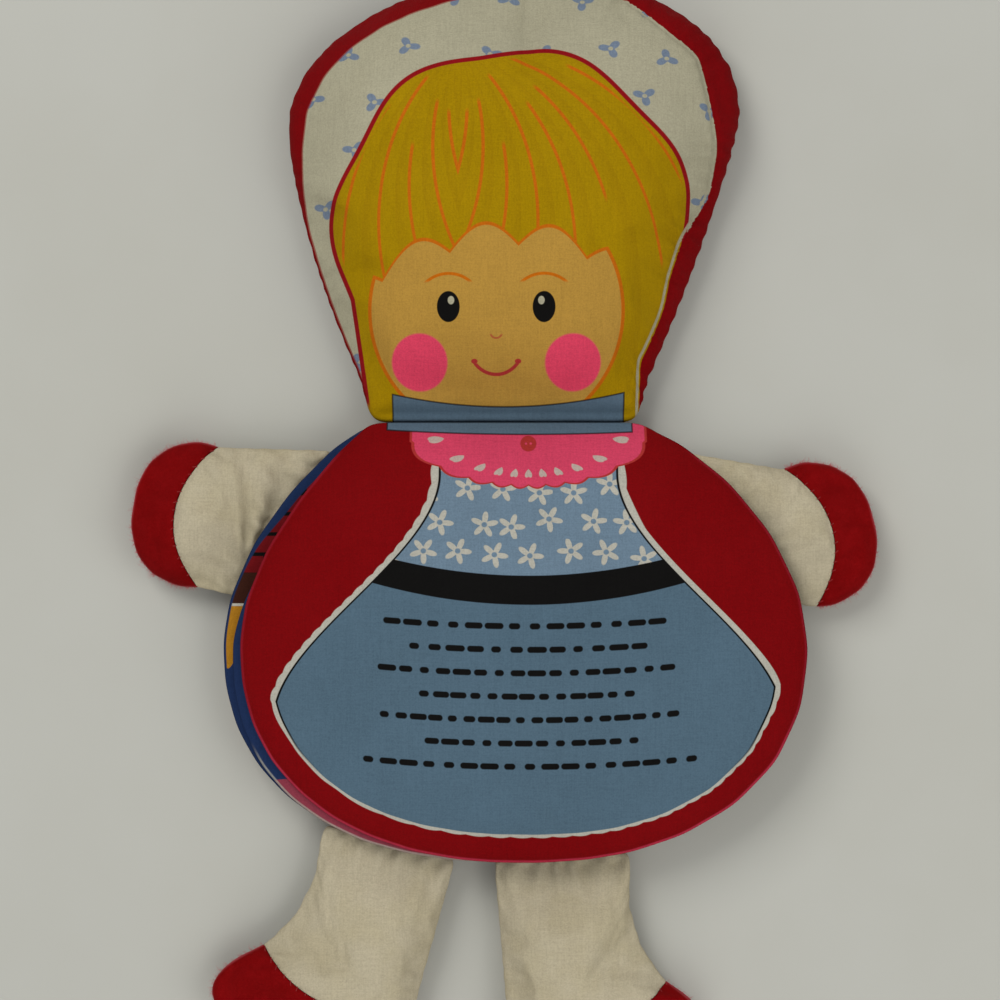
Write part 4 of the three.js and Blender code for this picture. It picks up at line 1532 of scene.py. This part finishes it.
class DOLL_OT_arms(bpy.types.Operator):
    """Builds the muslin arms with their felt hands"""

    bl_idname = "doll.arms"
    bl_label = "Arms and hands"

    def execute(self, context):
        for side in SIDES:
            boxes = [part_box(f"{side}_{part}") for part in ("sleeve_front", "hand_front_felt")]
            low = [min(box[0][k] for box in boxes) for k in (0, 1)]
            high = [max(box[1][k] for box in boxes) for k in (0, 1)]
            centre = [(low[k] + high[k]) / 2 for k in (0, 1)]
            build_limb(side, "arm", centre, arm_cuff(side), ARMPIT_FOLDS[side])
        return {"FINISHED"}


class DOLL_OT_legs(bpy.types.Operator):
    """Builds the muslin legs with their felt shoes"""

    bl_idname = "doll.legs"
    bl_label = "Legs and shoes"

    def execute(self, context):
        for side in SIDES:
            build_limb(side, "leg", LEG_CENTRES[side], leg_cuff(side))
        return {"FINISHED"}


# Lamps: name, place, size and power, all aimed at the doll's middle
LAMPS = (
    ("key", (-0.9, 1.1, 1.5), 1.1, 23.5),
    ("fill", (1.3, -0.4, 1.3), 1.4, 12),
    ("low", (0.0, -1.4, 1.0), 1.2, 7.5),
)
FLOOR_DROP = 0.2 * MM
CAMERA_PLACE = (-0.0016, 0.0104, 1.02)
CAMERA_LENS = 96
ROOM_LIGHT = (0.93, 0.96, 1.0, 1)
ROOM_STRENGTH = 0.42


class DOLL_OT_stage(bpy.types.Operator):
    """Sets the pale floor, the soft lamps and the camera straight above the doll"""

    bl_idname = "doll.stage"
    bl_label = "Floor, lamps and camera"

    def execute(self, context):
        bpy.ops.object.select_all(action="DESELECT")
        bpy.ops.mesh.primitive_grid_add(
            x_subdivisions=24, y_subdivisions=24, size=6, location=(0, 0, -FLOOR_DROP)
        )
        floor = context.object
        floor.name = "floor"
        tree, shader = new_material("Pale tabletop", 0.75, 0.0)
        grain = noise(tree, tree.nodes.new("ShaderNodeTexCoord").outputs["Object"], 6, 4.0, 0.6)
        sheet = Print(tree, "#b3b2a9").paint("#adaba0", grain.over(0.35, 0.7) * 0.5)
        feed(tree, shader.inputs["Base Color"], sheet.ground)
        floor.data.materials.append(bpy.data.materials["Pale tabletop"])
        for name, place, size, power in LAMPS:
            lamp = bpy.data.lights.new(name, "AREA")
            lamp.size = size
            lamp.energy = power
            holder = linked(name, lamp)
            holder.location = place
            holder.rotation_euler = Vector(place).to_track_quat("Z", "Y").to_euler()
        world = bpy.data.worlds.new("Soft room")
        world.use_nodes = True
        light = world.node_tree.nodes["Background"]
        light.inputs["Color"].default_value = ROOM_LIGHT
        light.inputs["Strength"].default_value = ROOM_STRENGTH
        context.scene.world = world
        context.scene.view_settings.view_transform = "Standard"
        camera = bpy.data.cameras.new("camera")
        camera.lens = CAMERA_LENS
        camera.sensor_width = 36
        seat = linked("camera", camera)
        seat.location = CAMERA_PLACE
        seat.rotation_euler = (0, 0, 0)
        context.scene.camera = seat
        return {"FINISHED"}


class DOLL_PT_panel(bpy.types.Panel):
    """Lists the doll's sizes, colours and steps in the sidebar"""

    bl_label = "Storybook doll"
    bl_space_type = "VIEW_3D"
    bl_region_type = "UI"
    bl_category = "Doll"

    def draw(self, context):
        layout = self.layout
        for group, owner in ((DollSewing, sewing()), (DollColours, colours())):
            box = layout.box()
            for key in group.__annotations__:
                box.prop(owner, key)
        for step in STEPS:
            layout.operator(step.bl_idname)


STEPS = (DOLL_OT_cloths, DOLL_OT_head, DOLL_OT_body, DOLL_OT_pages, DOLL_OT_arms, DOLL_OT_legs, DOLL_OT_stage)
CLASSES = (DollSewing, DollColours, *STEPS, DOLL_PT_panel)


def register():
    for made in CLASSES:
        bpy.utils.register_class(made)
    bpy.types.Scene.doll_sewing = PointerProperty(type=DollSewing)
    bpy.types.Scene.doll_colours = PointerProperty(type=DollColours)


def unregister():
    del bpy.types.Scene.doll_sewing
    del bpy.types.Scene.doll_colours
    for made in reversed(CLASSES):
        bpy.utils.unregister_class(made)


def main():
    register()
    for step in STEPS:
        getattr(bpy.ops.doll, step.bl_idname.removeprefix("doll."))()


if __name__ == "__main__":
    main()
